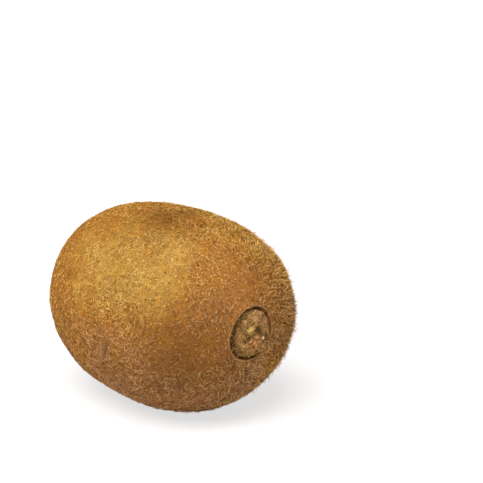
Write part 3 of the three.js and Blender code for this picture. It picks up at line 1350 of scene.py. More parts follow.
@dataclass
class Hairs:
    """Closed three-sided hairs, one mesh for many.

    Attributes:
        cut: Sizes of the hairs.
        root_sink: How deep a root is sunk below the skin.
        side_width: Width on the palette of one side of a hair.
        taper: Thickness after each bend, as a share of what it was before.
        ends: Least and most that a vertex's place on the palette may be.
    """

    cut: HairCut
    root_sink: float = 0.08 * MM
    side_width: float = 0.006
    taper: float = 0.85
    ends: tuple[float, float] = (0.01, 0.99)

    def grow(self, roots: HairRoots, rng: np.random.Generator) -> tuple[Array, list[Array], Array]:
        """Grows one hair from each root.

        Args:
            roots: Where the hairs grow.
            rng: Source of the draws.

        Returns:
            Vertices, lists of faces, and the palette place of each vertex.
        """
        cut, count = self.cut, len(roots.points)
        rise = np.radians(between(cut.rise, rng.random(count)) * roots.rise)[:, None]
        droop = np.radians(between(cut.droop, rng.random(count)))[:, None]
        half = between(cut.width, rng.random(count))[:, None] / 2
        turn = rng.normal(0, cut.curl, (count, 1)) if cut.bends else np.zeros((count, 1))
        side = unit(np.cross(roots.normals, roots.lie))
        spin = rng.uniform(0, TURN, (count, 1))
        step = roots.length[:, None] / (cut.bends + 1)
        centre = roots.points - roots.normals * self.root_sink
        vertices, places = [], []
        for bend in range(cut.bends + 1):
            along = roots.lie * np.cos(bend * turn) + side * np.sin(bend * turn)
            way = along * np.cos(rise - bend * droop) + roots.normals * np.sin(rise - bend * droop)
            flat = unit(np.cross(roots.normals, along))
            over = np.cross(flat, way)
            share = bend / (cut.bends + 1)
            height = between(cut.depth, share) + roots.tone
            for k in range(3):
                at = spin + k * TURN / 3
                vertices.append(centre + half * (flat * np.cos(at) + over * np.sin(at)))
                across = roots.tint + (k - 1) * self.side_width
                places.append([across, height + k * self.side_width])
            centre = centre + way * step
            half = half * self.taper
        vertices.append(centre)
        places.append([roots.tint, cut.depth[1] + roots.tone])
        faces = self._faces(count, len(vertices))
        uv = np.clip(np.stack([np.stack(place, -1) for place in places], 1), *self.ends)
        return np.stack(vertices, 1).reshape(-1, 3), faces, uv.reshape(-1, 2)

    def _faces(self, count: int, step: int) -> list[Array]:
        """Lists the faces of hairs.

        Args:
            count: Number of hairs.
            step: Vertices of one hair.

        Returns:
            Triangles, of which each hair has TRIANGLES_A_HAIR, and quads where it bends.
        """
        first = np.arange(count)[:, None] * step
        # Three vertices of the last ring and one tip end the list of a hair
        last = step - 4
        triangles = [first + [2, 1, 0]]
        triangles += [first + [last + k, last + (k + 1) % 3, step - 1] for k in range(3)]
        walls = [
            first + 3 * bend + [k, (k + 1) % 3, 3 + (k + 1) % 3, 3 + k]
            for bend in range(self.cut.bends)
            for k in range(3)
        ]
        return [np.concatenate(part) for part in (triangles, walls) if part]


@dataclass(frozen=True)
class HairKind:
    """One kind of hair of the coat.

    Attributes:
        name: First word of the names of its pieces.
        cut: Sizes of the hairs.
        count: How many roots are drawn all over the skin.
        parts: Last word of each piece's name, with its limits along the core as shares of the
            half length.
        long_side: How much longer the hairs are at the stem end and below, as a share.
    """

    name: str
    cut: HairCut
    count: int
    parts: tuple[tuple[str, float, float], ...]
    long_side: float


HALVES = (("stem_end", 0.0, 1.1), ("blossom_end", -1.1, 0.0))
THIRDS = (("stem_end", 0.33, 1.1), ("middle", -0.33, 0.33), ("blossom_end", -1.1, -0.33))

DOWN = HairKind(
    "down",
    HairCut(
        length=(0.45 * MM, 1.0 * MM),
        width=(0.09 * MM, 0.14 * MM),
        rise=(8, 34),
        stray=1.5,
        depth=(0.2, 0.7),
    ),
    56000,
    HALVES,
    0.15,
)
BRISTLES = HairKind(
    "bristles",
    HairCut(
        length=(0.65 * MM, 1.45 * MM),
        width=(0.10 * MM, 0.18 * MM),
        rise=(5, 32),
        droop=(0, 24),
        stray=1.25,
        curl=0.65,
        bends=1,
        depth=(0.24, 0.96),
    ),
    46000,
    THIRDS,
    0.3,
)
LONG_HAIRS = HairKind(
    "long_hairs",
    HairCut(
        length=(1.2 * MM, 2.3 * MM),
        width=(0.11 * MM, 0.18 * MM),
        rise=(8, 36),
        droop=(4, 22),
        stray=1.4,
        curl=0.7,
        bends=2,
        depth=(0.48, 1.1),
    ),
    7600,
    (("all_over", -1.1, 1.1),),
    0.4,
)


@dataclass
class Coat:
    """The fuzz of the skin: down, bristles that swirl, and a few long hairs.

    Attributes:
        skin: The skin that it grows on.
        finish: Material of the hairs.
        kinds: The kinds of hair.
        seed: Number that fixes the draws.
        bare_ring: Distances from the ring's middle between which the hair sets in.
        tuft_bare: The same round the tuft at the blossom end.
        ground_clearance: Least height of a hair over the ground.
        swirls: Fields that turn the hairs off their flow, in radians.
        clumps: Field whose slope draws neighbouring hairs together.
        clump_pull: How strongly it draws them.
        tint_drift: Field that shifts the tint, and by how much.
        tint_spread: Spread of the tint from hair to hair.
        tone_drifts: Fields that lighten and darken the hairs, and by how much.
        specks: Field whose highest places are painted shadows between clumps of hair, as dark
            specks.
        clump_shadow_from: Values of that field between which a painted shadow sets in.
        clump_shadow_dark: How much darker a painted shadow is.
        tone_spread: Spread of the tone from hair to hair.
        dark_share: Share of hairs that are dark.
        dark_tone: How much darker those are.
        length_drift: Field that shifts the length, and by how much.
        short_bias: Power that makes short hairs more common than long ones.
        long_below: How much being low counts towards longer hairs, beside the stem end's 1.
        long_span: Sum of the two at which long_side is reached.
        rise_ends: What the rise is multiplied by at the blossom end and at the stem end.
        flat_below: How much flatter the hairs lie on the underside.
        flat_from: How low that sets in, as shares of the half height.
    """

    skin: Skin
    finish: bpy.types.Material
    kinds: tuple[HairKind, ...] = (DOWN, BRISTLES, LONG_HAIRS)
    seed: int = 21
    bare_ring: tuple[float, float] = (6.85 * MM, 7.45 * MM)
    tuft_bare: tuple[float, float] = (1.4 * MM, 2.4 * MM)
    ground_clearance: float = 0.05 * MM
    swirls: tuple[tuple[Ripple, float], ...] = (
        (Ripple(22 * MM, 31), 0.8),
        (Ripple(5.5 * MM, 32), 0.6),
        (Ripple(2.2 * MM, 37), 0.4),
    )
    clumps: Ripple = Ripple(1.7 * MM, 33)
    clump_pull: float = 0.35
    tint_drift: tuple[Ripple, float] = (Ripple(12 * MM, 34), 0.1)
    tint_spread: float = 0.13
    tone_drifts: tuple[tuple[Ripple, float], ...] = (
        (Ripple(7.0 * MM, 38), 0.07),
        (Ripple(1.5 * MM, 35), 0.10),
    )
    # Painted shadows between clumps of hair, as dark specks
    specks: Ripple = Ripple(1.4 * MM, 39)
    clump_shadow_from: tuple[float, float] = (0.95, 1.35)
    clump_shadow_dark: float = 0.85
    tone_spread: float = 0.2
    dark_share: float = 0.14
    dark_tone: float = 0.7
    length_drift: tuple[Ripple, float] = (Ripple(8 * MM, 36), 0.16)
    short_bias: float = 1.3
    long_below: float = 0.6
    long_span: float = 1.4
    rise_ends: tuple[float, float] = (0.5, 1.8)
    flat_below: float = 0.55
    flat_from: tuple[float, float] = (0.2, 1.0)

    def build(self) -> list[bpy.types.Object]:
        """Builds all kinds of hair, each in pieces from the stem end to the blossom end.

        Returns:
            The pieces.
        """
        pieces = []
        for number, kind in enumerate(self.kinds):
            pieces += self._grown(kind, np.random.default_rng(self.seed + number))
        return pieces

    def _grown(self, kind: HairKind, rng: np.random.Generator) -> list[bpy.types.Object]:
        """Grows one kind of hair and cuts it into pieces by its place along the core.

        Args:
            kind: The kind of hair.
            rng: Source of the draws.

        Returns:
            One object for each part.
        """
        form = self.skin.form
        points, normals = self.skin.scattered(kind.count, rng)
        kept = self._covered(points, rng)
        points, normals = points[kept], normals[kept]
        along = points[:, 0] / form.half_length
        above = points[:, 2] / (form.half_width * form.height_share)
        length = between(kind.cut.length, rng.random(len(points)) ** self.short_bias)
        length = length * (1 + rippled([self.length_drift], points))
        length = length * (1 + kind.long_side * (along - self.long_below * above) / self.long_span)
        length = length * (1 - summed(WORN, points))
        rise = between(self.rise_ends, ((along + 1) / 2) ** 2)
        rise = rise * (1 - self.flat_below * smoothstep(-above, *self.flat_from))
        rise = rise * (1 + summed(STANDING, points))
        tint, tone = self._tint(points, rng)
        lie = self._lie(points, normals, kind.cut.stray, rng)
        roots = HairRoots(points, normals, lie, length, rise, tint, tone)
        pieces = []
        for part, low, high in kind.parts:
            grown = Hairs(kind.cut).grow(roots.where((along >= low) & (along < high)), rng)
            piece = mesh_piece(f"{kind.name}_{part}", *self._off_ground(*grown))
            piece.data.materials.append(self.finish)
            pieces.append(piece)
        return pieces

    def _covered(self, roots: Array, rng: np.random.Generator) -> Array:
        """Tells which roots lie where the skin is hairy, off the seat, the lip and the tuft.

        Args:
            roots: Points on the skin.
            rng: Source of the draws.

        Returns:
            True or false for each root.
        """
        stem = smoothstep(self.skin.form.lip_place(roots), *self.bare_ring)
        blossom = smoothstep(np.hypot(roots[:, 1], roots[:, 2]), *self.tuft_bare)
        wanted = np.where(roots[:, 0] > 0, stem, blossom)
        return rng.random(len(roots)) < wanted

    def _lie(self, roots: Array, normals: Array, stray: float, rng: np.random.Generator) -> Array:
        """Lays the hairs away from the stem end, swirled, strayed and clumped.

        Args:
            roots: Points on the skin.
            normals: Outward directions there.
            stray: Spread of the direction from hair to hair, in radians.
            rng: Source of the draws.

        Returns:
            Directions along the skin.
        """
        swirl = rippled(self.swirls, roots)
        swirl = (swirl + rng.normal(0, stray, len(roots)))[:, None]
        flow = np.array([-1.0, 0.0, 0.0])
        flow = unit(flow - normals * (normals @ flow)[:, None])
        side = np.cross(normals, flow)
        lie = flow * np.cos(swirl) + side * np.sin(swirl)
        pull = self.clumps.slope(roots)
        pull = pull - normals * (pull * normals).sum(1, keepdims=True)
        return unit(lie + self.clump_pull * pull)

    def _tint(self, roots: Array, rng: np.random.Generator) -> tuple[Array, Array]:
        """Palette places of hairs.

        Args:
            roots: Points on the skin.
            rng: Source of the draws.

        Returns:
            Tints from golden to red, and what is added to the palette height.
        """
        count = len(roots)
        tint = tint_at(roots) + rippled([self.tint_drift], roots)
        tint = tint + rng.normal(0, self.tint_spread, count)
        either = np.where(rng.random(count) < tint, 1.0, 0.0)
        tint = np.where(rng.random(count) < summed(PIED, roots), either, tint)
        tone = rng.normal(0, self.tone_spread, count) + rippled(self.tone_drifts, roots)
        tone = tone - self.dark_tone * (rng.random(count) < self.dark_share)
        # Painted shade and painted light on the hairs' tone, with the dark marks of the skin
        tone = tone * (1 - summed(WORN, roots)) - summed(DARK_MARKS_PAINTED_SHADE_AND_LIGHT, roots)
        # Painted shadows between clumps of hair, as dark specks
        tone = tone - self.clump_shadow_dark * smoothstep(self.specks.at(roots), *self.clump_shadow_from)
        return np.clip(tint, *PALETTE_ENDS), tone

    def _off_ground(
        self, points: Array, faces: list[Array], uv: Array
    ) -> tuple[Array, list[Array], Array]:
        """Moves hairs to the frame and drops those that would reach into the ground.

        Args:
            points: Vertices of whole hairs, one after the other.
            faces: Triangles and quads.
            uv: Palette place of each vertex.

        Returns:
            The same for the hairs that are kept.
        """
        moved = self.skin.form.moved(points)
        step = TRIANGLES_A_HAIR * len(points) // len(faces[0])
        hairs = moved.reshape(-1, step, 3)
        kept = hairs[:, :, 2].min(axis=1) > self.ground_clearance
        vertices = np.repeat(kept, step)
        renumber = np.cumsum(vertices) - 1
        chosen = [renumber[f[kept[f[:, 0] // step]]] for f in faces if len(f)]
        return moved[vertices], chosen, uv[vertices]


@dataclass(frozen=True)
class Lump:
    """A round lump of the dried calyx, or a pit where its height is below zero.

    Attributes:
        middle: Place along +Y and +Z from the core, in millimetres.
        reach: How far from it the lump fades, in millimetres.
        height: How high it stands, in millimetres.
    """

    middle: tuple[float, float]
    reach: float
    height: float

    def at(self, points: Array) -> Array:
        """Rise at points of the disc."""
        y, z = self.middle
        away = np.hypot(points[..., 1] - y * MM, points[..., 2] - z * MM)
        return self.height * MM * bump(away, self.reach * MM)


@dataclass
class Calyx:
    """The dried calyx: sepals matted into one disc, with the stalk scar in the middle.

    Attributes:
        form: The fruit's form.
        radius: Radius of the disc.
        dome: How much higher its middle stands than its rim.
        rim: Height of the rim over the skin's own line.
        sepal_edges: Sides at which the sepals' free edges start, in degrees.
        sepal_step: Height of a free edge over the next sepal.
        step_power: How soon that height falls across the sepal.
        sepal_twist: How far the edges wind from the middle to the rim, in radians.
        sepal_crease: Depth of the crease along the middle of a sepal.
        crease_width: How soon it fades, as a share of the sepal's width.
        fold_height: Height of the folds at the rim.
        fold_waves: How many folds run round the disc, and how fast they wind outwards.
        fray: How deep the rim is frayed, as a share of the radius.
        fray_waves: How many notches run round the rim, with their shares of the depth.
        undercut: How much smaller the underside's radius is.
        under_rings: Radii of the underside's rings, as shares of the first.
        scar_radius: Radius of the stalk scar's raised edge.
        scar_rim_height: Height of that edge.
        scar_rim_width: How soon it fades.
        scar_pit_depth: Depth of the pit inside it.
        scar_pit_width: How soon that fades.
        flesh_gap: Gap between the underside and the seat.
        rows: Rings of the upper side.
        columns: Vertices of a ring.
        crumple: Slow and quick unevenness of the upper side, with their heights.
        rim_calm: How much lower the crumple and the lumps are at the rim, as a share.
        calm_from: Share of the radius from which they get lower.
        lobe_side: Side on which the disc reaches out, in degrees.
        lobe_spread: How far round the disc that goes, in degrees.
        lobe_reach: How far it reaches out, as a share of the radius.
        lobe_least: Least reach at which the lobe's rim is not frayed.
        crumb_radius: How soon the pale crumb fades.
        crumb_height: Height of it.
        crumb_place: Place of it along +Y and +Z from the core.
        aside: How far the disc lies off the core along +Y and +Z.
        lumps: Lumps and pits of the upper side.
        lump_middle: Mean height of the lumps, which is taken off.
        sunk_side: Side on which the rim lies in a groove, in degrees.
        sunk_spread: How far round the disc the groove goes, in degrees.
        sunk_depth: Depth of it.
        sunk_from: Shares of the radius between which it sets in.
        sunk_shade: How strong the painted shade in the sunk groove is.
        hollow_depth: Depth of crumple against which the painted shade in the hollows is measured.
        hollow_from: Share of that depth from which the painted shade sets in.
        deepest_shade: How strong the painted shade is at most, in the deepest hollows.
        hair_count: Number of the short hairs.
        hair_seed: Number that fixes their draws.
        hair_at_scar: How common they are on the scar, beside 1 outside it.
        hair_tint: Middle and spread of their tint.
        hair_tone: Spread of their tone.
        hair: Sizes of them.
        top: Vertices of the upper side, once built.
    """

    form: FruitForm
    radius: float = 5.95 * MM
    dome: float = 0.55 * MM
    rim: float = 0.35 * MM
    sepal_edges: tuple[float, ...] = (12, 88, 151, 231, 297)
    sepal_step: float = 0.38 * MM
    step_power: float = 1.5
    sepal_twist: float = 0.7
    sepal_crease: float = 0.16 * MM
    crease_width: float = 0.16
    fold_height: float = 0.16 * MM
    fold_waves: tuple[tuple[int, float], ...] = ((7, 2.3 / MM), (-4, 1.9 / MM))
    fray: float = 0.045
    fray_waves: tuple[tuple[int, float], ...] = ((5, 0.6), (17, 0.4))
    undercut: float = 0.15 * MM
    under_rings: tuple[float, ...] = (1.0, 0.66, 0.33)
    scar_radius: float = 1.9 * MM
    scar_rim_height: float = 0.4 * MM
    scar_rim_width: float = 0.55 * MM
    scar_pit_depth: float = 0.5 * MM
    scar_pit_width: float = 1.1 * MM
    flesh_gap: float = 0.35 * MM
    rows: int = 66
    columns: int = 220
    crumple: tuple[tuple[Ripple, float], ...] = (
        (Ripple(1.7 * MM, 41), 0.2 * MM),
        (Ripple(0.8 * MM, 42), 0.14 * MM),
    )
    rim_calm: float = 0.6
    calm_from: float = 0.85
    lobe_side: float = -48.0
    lobe_spread: float = 20.0
    lobe_reach: float = 0.13
    lobe_least: float = 0.02
    crumb_radius: float = 0.45 * MM
    crumb_height: float = 0.4 * MM
    crumb_place: tuple[float, float] = (3.15 * MM, -1.2 * MM)
    aside: tuple[float, float] = (0.0, 0.06 * MM)
    lumps: tuple[Lump, ...] = (
        Lump((-0.9, 1.4), 1.2, 0.7),
        Lump((-2.9, 3.9), 1.4, 0.35),
        Lump((-4.0, 0.6), 1.2, 0.3),
        Lump((1.05, 5.0), 1.2, 0.4),
        Lump((3.3, 2.4), 1.4, 0.45),
        Lump((0.2, -2.5), 1.4, 0.5),
        Lump((-3.6, -2.4), 1.2, 0.4),
        Lump((-1.9, -4.5), 1.1, 0.4),
        Lump((2.9, -3.4), 1.2, 0.3),
        Lump((1.3, 1.8), 0.8, -0.5),
        Lump((-2.0, -0.4), 0.8, -0.4),
    )
    lump_middle: float = 0.15 * MM
    sunk_side: float = 172.0
    sunk_spread: float = 78.0
    sunk_depth: float = 1.1 * MM
    sunk_from: tuple[float, float] = (0.72, 0.92)
    sunk_shade: float = 0.95
    hollow_depth: float = 0.3 * MM
    hollow_from: float = 0.3
    deepest_shade: float = 0.7
    hair_count: int = 1000
    hair_seed: int = 44
    hair_at_scar: float = 0.25
    hair_tint: tuple[float, float] = (0.5, 0.25)
    hair_tone: float = 0.22
    hair: HairCut = HairCut(
        length=(0.4 * MM, 1.3 * MM),
        width=(0.07 * MM, 0.13 * MM),
        rise=(5, 45),
        droop=(0, 40),
        curl=0.9,
        bends=1,
        depth=(0.1, 0.9),
    )
    top: Array = field(init=False)

    def _across_sepal(self, radius: Array, angle: Array) -> Array:
        """Measures places across the sepals.

        Args:
            radius: Distance from the disc's middle.
            angle: Side of the disc, in radians.

        Returns:
            How far across its sepal each lies, from 0 at the free edge to 1 at the next one.
        """
        wound = np.degrees(angle + self.sepal_twist * radius / self.radius) % 360
        edges = np.array([self.sepal_edges[-1] - 360, *self.sepal_edges, self.sepal_edges[0] + 360])
        after = np.searchsorted(edges, wound, side="right")
        start, end = edges[after - 1], edges[after]
        return (wound - start) / (end - start)

    def _rise(self, radius: Array, angle: Array) -> Array:
        """Shapes the upper side.

        Args:
            radius: Distance from the disc's middle.
            angle: Side of the disc, in radians.

        Returns:
            Height over the skin's own line.
        """
        out = radius / self.radius
        across = self._across_sepal(radius, angle)
        over_scar = smoothstep(radius, self.scar_radius, 2 * self.scar_radius)
        step = self.sepal_step * (1 - across) ** self.step_power * over_scar * out
        crease = -self.sepal_crease * bump(across - 0.5, self.crease_width) * over_scar
        folds = self.fold_height * out
        for around, outwards in self.fold_waves:
            folds = folds * np.cos(around * angle + outwards * radius)
        scar = self.scar_rim_height * bump(radius - self.scar_radius, self.scar_rim_width)
        scar = scar - self.scar_pit_depth * bump(radius, self.scar_pit_width)
        return self.rim + self.dome * (1 - out**2) + step + crease + folds + scar

    def build(self, finish: bpy.types.Material) -> bpy.types.Object:
        """Builds the disc.

        Args:
            finish: Material of the sepals.

        Returns:
            The disc's mesh object.
        """
        form, outer = self.form, self.radius
        angle = np.linspace(0, TURN, self.columns, endpoint=False)[None, :]
        radius = np.linspace(0, outer, self.rows + 1)[1:, None]
        underside = form.half_length - form.seat_depth + self.flesh_gap
        notches = [share * (1 + np.cos(count * angle)) / 2 for count, share in self.fray_waves]
        fray = self.fray * sum(notches)
        lobe = self.lobe_reach * bump(degrees_off(angle, self.lobe_side), self.lobe_spread)
        out = (lobe - fray * (lobe < self.lobe_least)) * smoothstep(radius, outer / 2, outer)
        height = form.core_at(radius) + self._rise(radius, angle)
        top = form.ringed(height, radius * (1 + out), angle)
        crumpled = rippled(self.crumple, top) + summed(self.lumps, top) - self.lump_middle
        calm = self.rim_calm * smoothstep(radius, self.calm_from * outer, outer)
        top[..., 0] += crumpled * (1 - calm)
        sunk = bump(degrees_off(angle, self.sunk_side), self.sunk_spread)
        sunk = sunk * smoothstep(radius / outer, *self.sunk_from)
        top[..., 0] -= self.sunk_depth * sunk
        top[..., 1:] += self.aside
        crumb_y, crumb_z = self.crumb_place
        to_crumb = np.hypot(top[..., 1] - crumb_y, top[..., 2] - crumb_z)
        top[..., 0] += self.crumb_height * bump(to_crumb, self.crumb_radius)
        under_radius = np.array(self.under_rings)[:, None] * (outer - self.undercut)
        under_axial = np.full_like(under_radius * angle, underside)
        under = form.ringed(under_axial, under_radius * (1 - fray), angle)
        pole_rise = self._rise(np.zeros(1), np.zeros(1))[0]
        ends = np.array([form.half_length + pole_rise, underside])
        poles = form.ringed(ends, np.zeros(2), np.zeros(2))
        points = np.concatenate([np.concatenate([top, under]).reshape(-1, 3), poles])
        faces = closed_faces(self.rows + len(under_radius), self.columns)
        self.top = top.reshape(-1, 3)
        # Painted shade in the hollows of the crumple and in the sunk groove, for the finish
        low = np.clip(-crumpled / self.hollow_depth - self.hollow_from, 0, self.deepest_shade)
        hollow = np.zeros(len(points))
        hollow[: len(self.top)] = np.maximum(low, self.sunk_shade * sunk).ravel()
        piece = mesh_piece("calyx_disc", form.moved(points), faces, marks={HOLLOW_SHADE_MARK: hollow})
        piece.data.materials.append(finish)
        return piece

    def build_hairs(self, finish: bpy.types.Material) -> bpy.types.Object:
        """Builds the short hairs that are matted over the sepals.

        Args:
            finish: Material of the hairs.

        Returns:
            One mesh object with all hairs.
        """
        rng, count = np.random.default_rng(self.hair_seed), self.hair_count
        away = np.hypot(self.top[:, 1], self.top[:, 2])
        over_scar = smoothstep(away, self.scar_radius, 2 * self.scar_radius)
        weight = away * (self.hair_at_scar + over_scar)
        picked = rng.choice(len(self.top), count, p=weight / weight.sum())
        turn = rng.uniform(0, TURN, count)
        roots = HairRoots(
            points=self.top[picked],
            normals=np.tile([1.0, 0.0, 0.0], (count, 1)),
            lie=np.stack([np.zeros(count), np.cos(turn), np.sin(turn)], -1),
            length=between(self.hair.length, rng.random(count)),
            rise=np.ones(count),
            tint=np.clip(rng.normal(*self.hair_tint, count), *PALETTE_ENDS),
            tone=rng.normal(0, self.hair_tone, count),
        )
        points, faces, uv = Hairs(self.hair).grow(roots, rng)
        piece = mesh_piece("calyx_hairs", self.form.moved(points), faces, uv)
        piece.data.materials.append(finish)
        return piece


@dataclass
class Styles:
    """The tuft of dried styles: thin bent rays on a small button in the dimple.

    Attributes:
        form: The fruit's form.
        count: Number of rays, every second of which is an inner one.
        outer_lean: Least and most lean of an outer ray off the dimple's floor, in degrees.
        outer_length: Least and most length of an outer ray.
        inner_lean: The same lean of an inner ray.
        inner_length: The same length of an inner ray.
        curl: Least and most that a ray turns up, in degrees.
        sway: Most that a ray bends sideways either way, twice, as a share of its length.
        thickness: Thickness of a ray at its root.
        tip_thickness: Thickness at its tip.
        steps: Rings of a ray, less one.
        sides: Vertices of a ring.
        flute: Depth of the flutes, as a share of the radius.
        flutes: How many flutes run round a ray, and how far they wind along it, in radians.
        button_radius: Radius of the button.
        button_height: Height of it.
        button_power: How round its sides are.
        button_rows: Rings of it.
        button_columns: Vertices of its rings.
        root_place: Where the rays start, as shares of the button's height and radius.
        flesh_gap: Gap between the button and the dimple's floor.
        seed: Number that fixes the draws.
        draw_factor: What each draw is multiplied by for the next.
        draw_modulus: What it is the remainder of.
        wrinkles: Slow and quick wrinkles, with their heights.
    """

    form: FruitForm
    count: int = 26
    outer_lean: tuple[float, float] = (14, 32)
    outer_length: tuple[float, float] = (3.1 * MM, 4.1 * MM)
    inner_lean: tuple[float, float] = (40, 68)
    inner_length: tuple[float, float] = (2.2 * MM, 3.1 * MM)
    curl: tuple[float, float] = (2, 26)
    sway: float = 0.5
    thickness: float = 0.62 * MM
    tip_thickness: float = 0.3 * MM
    steps: int = 12
    sides: int = 9
    flute: float = 0.16
    flutes: tuple[int, int] = (3, 4)
    button_radius: float = 2.1 * MM
    button_height: float = 1.5 * MM
    button_power: float = 0.8
    button_rows: int = 20
    button_columns: int = 48
    root_place: tuple[float, float] = (0.55, 0.45)
    flesh_gap: float = 0.35 * MM
    seed: int = 7
    draw_factor: int = 16807
    draw_modulus: int = 2**31 - 1
    wrinkles: tuple[tuple[Ripple, float], ...] = (
        (Ripple(1.1 * MM, 51), 0.036 * MM),
        (Ripple(0.5 * MM, 52), 0.018 * MM),
    )

    def _draws(self) -> Iterable[float]:
        """Draws the same numbers as place the solid's rays.

        Yields:
            Numbers from 0 to 1, without end.
        """
        state = self.seed
        while True:
            state = state * self.draw_factor % self.draw_modulus
            yield state / self.draw_modulus

    def _ray(
        self, lean: float, length: float, curl: float, sway: float
    ) -> tuple[Array, Array, Array]:
        """One bent ray that tapers to its tip.

        Args:
            lean: Angle off the dimple's floor, in radians.
            length: Length in metres.
            curl: How much it turns up, in radians.
            sway: Sideways bend as a share of the length.

        Returns:
            Vertices, and its quads and triangles.
        """
        half_way = 0.5 * length * np.array([math.sin(lean), math.cos(lean), 0])
        end = length * np.array([math.sin(lean + curl), math.cos(lean + curl), sway])
        t = np.linspace(0, 1, self.steps + 1)[:, None]
        path = 2 * t * (1 - t) * half_way + t * t * end
        way = unit(2 * (1 - 2 * t) * half_way + 2 * t * end)
        side = unit(np.cross(way, [0.0, 0.0, 1.0]))
        over = np.cross(side, way)
        angle = np.arange(self.sides) * TURN / self.sides
        radius = (self.thickness + (self.tip_thickness - self.thickness) * t) / 2
        around, along = self.flutes
        fluted = radius * (1 + self.flute * np.cos(around * angle[None, :] + along * t))
        across, up = np.cos(angle)[None, :, None], np.sin(angle)[None, :, None]
        ring = side[:, None] * across + over[:, None] * up
        rings = (path[:, None] + fluted[:, :, None] * ring).reshape(-1, 3)
        points = np.concatenate([rings, path[-1:] + way[-1:] * self.tip_thickness / 2, path[:1]])
        rows = self.steps + 1
        tip = fan_faces(rows * self.sides, (rows - 1) * self.sides, self.sides, True)
        root = fan_faces(rows * self.sides + 1, 0, self.sides, False)
        return points, ring_faces(rows, self.sides)[:, ::-1], np.concatenate([tip, root])

    def _button(self) -> tuple[Array, Array, Array]:
        """Builds the small round body that the rays leave, on the dimple's floor.

        Returns:
            Vertices, and its quads and triangles.
        """
        rows, columns = self.button_rows, self.button_columns
        t = np.linspace(0, math.pi, rows + 2)[1:-1, None]
        angle = np.linspace(0, TURN, columns, endpoint=False)[None, :]
        radius = self.button_radius * np.sin(t) ** self.button_power
        axial = self.button_height * (0.5 + 0.5 * np.cos(t))
        rings = turned(np.broadcast_to(axial, (rows, columns)), radius, angle).reshape(-1, 3)
        points = np.concatenate([rings, [[self.button_height, 0, 0], [0, 0, 0]]])
        quads, *caps = closed_faces(rows, columns)
        return points, quads, np.concatenate(caps)

    def build(self, finish: bpy.types.Material) -> bpy.types.Object:
        """Builds the tuft.

        Args:
            finish: Material of the threads.

        Returns:
            The tuft's mesh object.
        """
        draw = iter(self._draws())
        parts = [self._button()]
        height, radius = self.root_place
        root = np.array([self.button_height * height, self.button_radius * radius, 0])
        for i in range(self.count):
            inner = i % 2 == 1
            lean = math.radians(between(self.inner_lean if inner else self.outer_lean, next(draw)))
            length = between(self.inner_length if inner else self.outer_length, next(draw))
            curl = math.radians(between(self.curl, next(draw)))
            points, *faces = self._ray(lean, length, curl, self.sway * (next(draw) - 0.5))
            turn = (i + next(draw)) / self.count * TURN
            parts.append((turned_about_x(points + root, turn), *faces))
        points, quads, triangles = zip(*parts)
        offsets = np.cumsum([0] + [len(part) for part in points])
        quads, triangles = (
            np.concatenate([part + offset for part, offset in zip(faces, offsets)])
            for faces in (quads, triangles)
        )
        points = np.concatenate(points)
        points = points + rippled(self.wrinkles, points)[:, None]
        points = points * np.array([-1, -1, 1])
        points[:, 0] -= self.form.half_length - self.form.dimple_depth + self.flesh_gap
        piece = mesh_piece("styles_tuft", self.form.moved(points), [quads, triangles])
        piece.data.materials.append(finish)
        return piece


